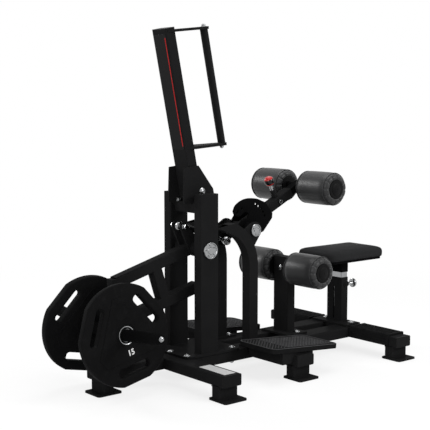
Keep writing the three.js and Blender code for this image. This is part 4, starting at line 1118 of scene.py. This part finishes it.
class HIPTHRUST_OT_pivots(bpy.types.Operator):
    """Pivot caps, shafts, pins, the link rod and the knobs"""
    bl_idname = "hipthrust.pivots"
    bl_label = "Pivots and knobs"

    def execute(self, context):
        self.caps()
        self.pins()
        self.link()
        self.arm_knob()
        self.selector()
        self.seat_pull()
        return {"FINISHED"}

    def caps(self):
        """Caps of the lever's pivots, and the swing shaft with its own."""
        lever_x, lever_z = LEVER_PIVOT
        swing_x, swing_z = SWING_PIVOT
        shaft = [(rod(SHAFT_RADIUS, -SHAFT_HALF, SHAFT_HALF, 40), crosswise(*SWING_PIVOT))]
        for hand, side in SIDES:
            cap = place((lever_x, side * (POST_FACE + GAP), lever_z), outward(side))
            add_piece(f"lever_pivot_cap_{hand}", laid(cap, pivot_cap(37.5, 10.7, 5, 24)),
                      "Chrome plate", "base", [f"lever_cap_{hand}"])
            cap = place((swing_x, side * (SHAFT_HALF + GAP), swing_z), outward(side))
            shaft += laid(cap, pivot_cap(29, 9.7, 3, 17))
        add_piece("swing_pivot_shaft", shaft, "Chrome plate", "base", ["swing_shaft"])

    def pins(self):
        """Pins of the link rod, with their nuts and spacers."""
        lever = crosswise(*LEVER_PIN)
        parts = [(rod(6, -33, 33), lever)]
        for turn in (0, math.pi):
            end = lever @ spun("X", turn)
            washer = lathe([(0, 33.3), (14, 33.3), (14, 36), (12, 36.5), (12, 45), (0, 45)], 32)
            parts += laid(end, (rod(11, 10.5, 24.7, 32), washer, hexagon(11, 45, 51.3)))
        add_piece("lever_link_pin", parts, "Chrome plate", "lever", ["lever_pin"])
        crank = [rod(6, -53.3, 18.5), rod(11, -36.7, -10.5, 32), rod(11, -47.5, -45.3, 32),
                 hexagon(10.5, -53.3, -47.5), rod(11, 10.5, 12.5, 32), hexagon(10.5, 12.5, 18.5)]
        add_piece("crank_link_pin", laid(crosswise(*CRANK_PIN), crank), "Chrome plate", "cams",
                  ["crank_pin"])

    def link(self):
        """Link rod with a threaded eye at both ends."""
        (x0, z0), (x1, z1) = LEVER_PIN, CRANK_PIN
        length = math.hypot(x1 - x0, z1 - z0)
        along = place((x0, 0, z0), ("Y", -math.atan2(z1 - z0, x1 - x0)))
        lie = along @ spun("Y", QUARTER)
        parts = []
        for x, hole in ((0, 6.5), (length, 11)):
            eye = lathe([(hole, -10), (17.5, -10), (19.5, -6), (20, 0), (19.5, 6), (17.5, 10),
                         (hole, 10), (hole, -10)], 40)
            parts.append((eye, along @ shift(x) @ spun("X", QUARTER)))
        parts += [(rod(8, low, high), lie) for low, high in ((17, 56), (length - 56, length - 17))]
        parts += [(hexagon(11, low, low + 8), lie) for low in (42, length - 50)]
        add_piece("link_rod_ends", parts, "Chrome plate", "link", ["link_rod"])
        bar = lathe([(0, 50), (9.5, 50), (11, 52), (11, length - 52), (9.5, length - 50),
                     (0, length - 50)], 32)
        add_piece("link_rod_bar", [(bar, lie)], "Dark powder coat", "link")

    def arm_knob(self):
        """Ball knob in red and black bands on a steel stem."""
        knob = on_arm() @ shift(POP_PIN_REACH)

        def band(start, end, radius):
            """Part of the ball between two angles from its top."""
            rim = arc(0, 108, radius, QUARTER - math.radians(start), QUARTER - math.radians(end), 12)
            return lathe([(0, rim[0][1]), *rim, (0, rim[-1][1])]), knob

        add_piece("pop_pin_knob_cap", [band(0, 62, 24.2), band(118, 134, 24.2)],
                  "Red knob plastic", "arm_pin", ["pop_pin"])
        add_piece("pop_pin_knob_ball", [band(62, 118, 23.9), band(134, 158, 23.9)],
                  "Black knob plastic", "arm_pin")
        stem = lathe([(0, 18.9), (5, 18.9), (5, 60.5), (9, 60.5), (9.5, 62), (9.5, 76), (8, 79),
                      (8, 88), (0, 88)], 24)
        add_piece("pop_pin_stem", [(stem, knob)], "Chrome plate", "arm_pin")

    def selector(self):
        """Pull pin behind the row of holes in the left cam plate."""
        x, z = along_arm(SELECTOR_REACH)
        lie = place((x, 0, z), outward(1))
        add_piece("selector_pin_shank", [(rod(4.8, 25.3, 45.3, 20), lie)], "Chrome plate",
                  "selector", ["selector_pin"])
        grip = lathe([(0, 45.3), (8, 45.3), (8.5, 47), (8.5, 50), (12, 53), (13, 56), (13, 60),
                      (11.5, 62), (13, 64), (13, 68), (11, 70.8), (0, 71.3)], 32)
        add_piece("selector_pin_knob", [(grip, lie)], "Red knob plastic", "selector")

    def seat_pull(self):
        """Pull pin of the seat post, with a flat round knob."""
        face = SEAT_POST_X + 25
        knob = face + SEAT_PULL_REACH
        pull = lathe([
            (0, face - 3.1), (5, face - 3.1), (5, face + 44.3), (8, face + 44.3), (8, knob - 3),
            (10, knob - 0.4), (19, knob), (22.2, knob + 1.2), (23, knob + 3.4), (23, knob + 8.6),
            (22.2, knob + 10.8), (19, knob + 12), (9, knob + 12), (8, knob + 11), (0, knob + 11)], 48)
        add_piece("seat_pin_pull", [(pull, place((0, 0, SEAT_PIN_Z), ("Y", QUARTER)))],
                  "Chrome plate", "seat_lock", ["seat_pin"])


def around(circles):
    """Outline stretched round circles given by centre and radius."""
    points = []
    for i in range(48):
        angle = TURN * i / 48
        c, s = math.cos(angle), math.sin(angle)
        x, y, radius = max(circles, key=lambda one: one[0] * c + one[1] * s + one[2])
        points.append((x + radius * c, y + radius * s))
    return points


def hook_outline():
    """Right cam plate: round at the swing shaft, with a hook behind and a nose in front."""
    hook_shares = [(0.0, 0.478), (-0.074, 0.475), (-0.235, 0.377), (-0.33, 0.37), (-0.44, 0.426),
                   (-0.488, 0.525)]
    back_shares = [(-0.488, 0.525), (-0.407, 0.685), (-0.222, 0.802), (-0.025, 0.858),
                   (0.18, 0.864), (0.414, 0.833), (0.586, 0.765)]
    nose_shares = [(0.71, 0.722), (1, 0.389), (0.988, 0.247), (0.648, -0.123)]
    throat_shares = [(0.05, 0.31), (0.086, 0.42)]
    start_shares = (0.19, -0.235)
    start, end = (math.atan2(y, x) for x, y in (start_shares, throat_shares[0]))
    return arc(0, 0, CAM_ROOT, start, end - TURN, 28) + [
        (x * CAM_REACH, y * CAM_REACH) for x, y in (
            *throat_shares, *smooth_line(hook_shares), *smooth_line(back_shares)[1:], *nose_shares)]


class HIPTHRUST_OT_cams(bpy.types.Operator):
    """Hooked right cam plate, left plate with the crank, and their spacers"""
    bl_idname = "hipthrust.cams"
    bl_label = "Cam plates"

    def execute(self, context):
        middle = crosswise(*SWING_PIVOT)
        inner, outer = CAM_FACES
        angles = [ARM_ANGLE + i * SELECTOR_PITCH for i in range(5)]
        spots = [(SELECTOR_REACH * math.cos(a), SELECTOR_REACH * math.sin(a)) for a in angles]
        bore = circle(0, 0, SHAFT_RADIUS + 0.5, 32)
        rows = [circle(x, y, 5.5, 20) for x, y in spots]
        crank_x, crank_z = CRANK_PIN[0] - SWING_PIVOT[0], CRANK_PIN[1] - SWING_PIVOT[1]
        strap = around([(0, 0, CAM_EYE), (crank_x, crank_z, 24)])
        sector = around([(0, 0, CAM_EYE), *((*spot, 13) for spot in (CAM_SPACERS[0], *spots))])
        shapes = [
            plate([hook_outline(), bore, circle(-27, 95, 7.5, 20), circle(-54, 82, 10, 20), *rows],
                  inner, outer, 0.9, 2),
            plate([strap, bore, circle(crank_x, crank_z, 6.3, 20)], -outer, -inner, 0.9, 2),
            plate([sector, bore, *rows], 0.1 - outer, -inner - 0.1, 0.9, 2)]
        for low, high in ((outer, HUB_END), (-HUB_END, -outer)):
            shapes.append(lathe([(18, low), (29, low), (30, low + 1), (30, high - 1), (29, high),
                                 (18, high), (18, low)]))
        parts = laid(middle, shapes)
        for x, y in CAM_SPACERS:
            parts.append((rod(6, -outer - 0.2, outer + 0.2, 28), middle @ shift(x, y)))
        add_piece("cam_plate_pair", parts, "Dark powder coat", "cams", ["cam_plates"])
        return {"FINISHED"}


class HIPTHRUST_OT_handle(bpy.types.Operator):
    """Grip sleeve, its end bolts and the tower's panel"""
    bl_idname = "hipthrust.handle"
    bl_label = "Handle and tower"

    def execute(self, context):
        tower = place(TOWER_FOOT, ("Y", -TOWER_LEAN))
        bar = tower @ shift(HANDLE_REACH)
        low, high = GRIP_ENDS
        r = GRIP_RADIUS
        profile = [(0, low), (r, low)]
        for groove in (low + 11.7, high - 13.7):
            profile += [(r, groove), (r - 0.7, groove + 0.6), (r - 0.7, groove + 1.6),
                        (r, groove + 2.2)]
        profile += [(r, high), (0, high)]
        add_piece("handle_grip", [(lathe(profile), bar)], "Grip sleeve", "base", ["handle_bar"])
        bolts = []
        for height, lean, out, turn in ((708, 5.1, 12, 0), (198, 8.6, -12, math.pi)):
            where = (bar @ shift(0, 0, height) @ spun("Y", math.radians(lean))
                     @ shift(0, 0, out) @ spun("X", turn))
            bolts += laid(where, (
                lathe([(0, -0.3), (13, -0.3), (13, 1.6), (12.4, 2), (0, 2)], 28),
                hexagon(10, 2, 9.5), lathe([(0, 9.5), (6, 9.5), (6, 12), (5, 13), (0, 13)], 20)))
        add_piece("handle_bolts", bolts, "Chrome plate", "base")
        face = tower @ shift(-25, 0, 473) @ spun("Y", -QUARTER)
        panel = plate([rounded(*PANEL_SIZE, 12)], -0.2, 0.8, 0.3, 1)
        add_piece("tower_panel", [(panel, face)], "Panel vinyl", "base")
        stripe = block((-26.2, -38, 238), (-25.6, -33, 708), 0.15, 1)
        add_piece("tower_stripe", [(stripe, tower)], "Stripe vinyl", "base")
        label = block((REAR_BEAM_X - 26, -430, BEAM_TOP - 0.2),
                      (REAR_BEAM_X + 34, -262, BEAM_TOP + 0.8), 0.3, 1)
        add_piece("beam_label", [(label, place())], "Grey label", "base")
        return {"FINISHED"}


# Bolts and welds


class HIPTHRUST_OT_fixings(bpy.types.Operator):
    """Bolts, nuts and weld beads of the frame"""
    bl_idname = "hipthrust.fixings"
    bl_label = "Fixings"

    def execute(self, context):
        add_piece("frame_bolts", self.bolts(), "Chrome plate", "base")
        boss = on_arm(("X", QUARTER)) @ shift(POP_PIN_REACH)
        ring = lathe(arc(9, ARM_BOSS, 0.9, 0, TURN, 8), 28)
        add_piece("arm_boss_ring", [(ring, boss)], "Chrome plate", "arm")
        ring = lathe([(5, 49.5), (10, 49.5), (10, 53), (9, 54), (5, 54), (5, 49.5)], 24)
        add_piece("seat_post_boss", [(ring, crosswise(SEAT_POST_X + 2, 308))],
                  "Frame powder coat", "base")
        add_piece("frame_welds", self.welds(), "Frame powder coat", "base", angle=60)
        return {"FINISHED"}

    def bolts(self):
        """Bolts of the foot plates, the rails, the lower roller's post and the tower."""
        bolts = []
        for x, y in (*PLATE_BOLTS, *THROUGH_BOLTS):
            bolts += laid(place((x, y, PLATE_TOP)), dome_bolt())
        for x, y in THROUGH_BOLTS:
            bolts += laid(place((x, y, 62), ("X", math.pi)), nut(11))
        tower = place(TOWER_FOOT, ("Y", -TOWER_LEAN))
        for side in (-1, 1):
            bolts += laid(place((313, side * 109, 120.2)), dome_bolt(9))
            out = tower @ shift(21, side * 58.3, 26) @ spun(*outward(side))
            bolts += laid(out, dome_bolt())
            inward = tower @ shift(-34, side * 49.7, -4) @ spun(*outward(-side))
            bolts += laid(inward, dome_bolt(9))
        bolts += laid(place((547, 0, 432), ("Y", -QUARTER)), dome_bolt(9))
        return bolts

    def welds(self):
        """Beads round the foot of each upright tube."""
        loops = [(x, y * side, z, 100, 50) for x, y in FOOT_PLACES for side in (-1, 1)
                 for z in (FOOT_TOP, FOOT_POST_TOP)]
        loops += [(-475, 0, z, 50, 100) for z in (FOOT_TOP, FOOT_POST_TOP)]
        loops += [(0, side * 109, PLATE_TOP, 100, 50) for side in (-1, 1)]
        loops += [(256, side * 109, 120, 50, 50) for side in (-1, 1)]
        loops += [(x, 0, PLATE_TOP, 50, 100) for x in (LOWER_AXLE[0], SEAT_POST_X)]
        parts = []
        for x, y, z, long, wide in loops:
            line = [(px, py, 0) for px, py in rounded(long + 1, wide + 1, 6, 3)]
            parts.append((bead(line), place((x, y, z))))
        return parts


# Studio


def seen_ray(nodes):
    """1 where the background is seen, straight or in metal, and 0 where it only lights."""
    rays = [nodes.node("LightPath", {}, {}, f"Is {kind} Ray")
            for kind in ("Camera", "Glossy", "Transmission")]
    return rays[0].sum("MAXIMUM", rays[0], rays[1].sum("MAXIMUM", rays[1], rays[2]))


class HIPTHRUST_OT_studio(bpy.types.Operator):
    """Pale floor, soft lights and the camera"""
    bl_idname = "hipthrust.studio"
    bl_label = "Studio"

    def execute(self, context):
        scene = context.scene
        scene.view_settings.view_transform = "Standard"
        self.camera(scene)
        self.world(scene)
        self.floor(scene)
        self.lamps()
        return {"FINISHED"}

    def camera(self, scene):
        data = bpy.data.cameras.new("camera")
        data.sensor_width = 36
        data.lens = CAMERA_LENS
        data.clip_end = 60
        eye = linked("camera", data)
        eye.location = at(*CAMERA_PLACE)
        level = math.cos(CAMERA_RISE)
        back = Vector((math.sin(CAMERA_TURN) * level, -math.cos(CAMERA_TURN) * level,
                       math.sin(CAMERA_RISE)))
        eye.rotation_euler = back.to_track_quat("Z", "Y").to_euler()
        scene.camera = eye

    def world(self, scene):
        world = bpy.data.worlds.new("studio")
        world.use_nodes = True
        nodes = Nodes(world.node_tree)
        dim, white = (nodes.node("Background", {}, {"Color": (1, 1, 1, 1), "Strength": strength})
                      for strength in (0.34, 1.0))
        sky = nodes.node("MixShader", {}, {0: seen_ray(nodes), 1: dim, 2: white})
        nodes.node("OutputWorld", {}, {"Surface": sky})
        scene.world = world

    def floor(self, scene):
        shape = bmesh.new()
        bmesh.ops.create_grid(shape, x_segments=1, y_segments=1, size=FLOOR_SIZE)
        mesh = mesh_of(shape, "studio_floor")
        floor = linked("studio_floor", mesh)
        finish = Finish("Studio floor")
        away = finish.node("VectorMath", {"operation": "LENGTH"}, {0: finish.place}, "Value")
        share = 0.8 + away.above(2.3, 0.9) * 0.2
        matt = finish.node("BsdfDiffuse", {}, {"Color": (*scene.hip_colours.floor, 1)})
        glow = finish.node("Emission", {}, {"Color": (1, 1, 1, 1), "Strength": 1.0})
        both = finish.node("MixShader", {}, {0: seen_ray(finish) * share, 1: matt, 2: glow})
        finish.node("OutputMaterial", {}, {"Surface": both})
        mesh.materials.append(finish.material)

    def lamps(self):
        for name, spot, aim, size, power in LAMPS:
            data = bpy.data.lights.new(name, "AREA")
            data.shape = "DISK"
            data.size = size
            data.energy = power
            lamp = linked(name, data)
            lamp.location = spot
            lamp.rotation_euler = (Vector(spot) - Vector(aim)).to_track_quat("Z", "Y").to_euler()


STEPS = (
    HIPTHRUST_OT_studio, HIPTHRUST_OT_finishes, HIPTHRUST_OT_discs, HIPTHRUST_OT_horns,
    HIPTHRUST_OT_rollers, HIPTHRUST_OT_seat, HIPTHRUST_OT_steps, HIPTHRUST_OT_pivots,
    HIPTHRUST_OT_cams, HIPTHRUST_OT_handle, HIPTHRUST_OT_fixings)


class HIPTHRUST_PT_parts(bpy.types.Panel):
    """Lists the machine's parts and their settings"""
    bl_idname = "HIPTHRUST_PT_parts"
    bl_label = "Hip Thrust Machine"
    bl_space_type = "VIEW_3D"
    bl_region_type = "UI"
    bl_category = "Hip Thrust"

    def draw(self, context):
        for group in (context.scene.hip_sizes, context.scene.hip_colours):
            box = self.layout.box()
            for name in group.__annotations__:
                box.prop(group, name)
        for step in STEPS:
            self.layout.operator(step.bl_idname)


CLASSES = (MachineSizes, MachineColours, *STEPS, HIPTHRUST_PT_parts)


def register():
    for one in CLASSES:
        bpy.utils.register_class(one)
    bpy.types.Scene.hip_sizes = PointerProperty(type=MachineSizes)
    bpy.types.Scene.hip_colours = PointerProperty(type=MachineColours)


def unregister():
    del bpy.types.Scene.hip_colours
    del bpy.types.Scene.hip_sizes
    for one in reversed(CLASSES):
        bpy.utils.unregister_class(one)


def main():
    register()
    for step in STEPS:
        group, name = step.bl_idname.split(".")
        getattr(getattr(bpy.ops, group), name)()


if __name__ == "__main__":
    main()
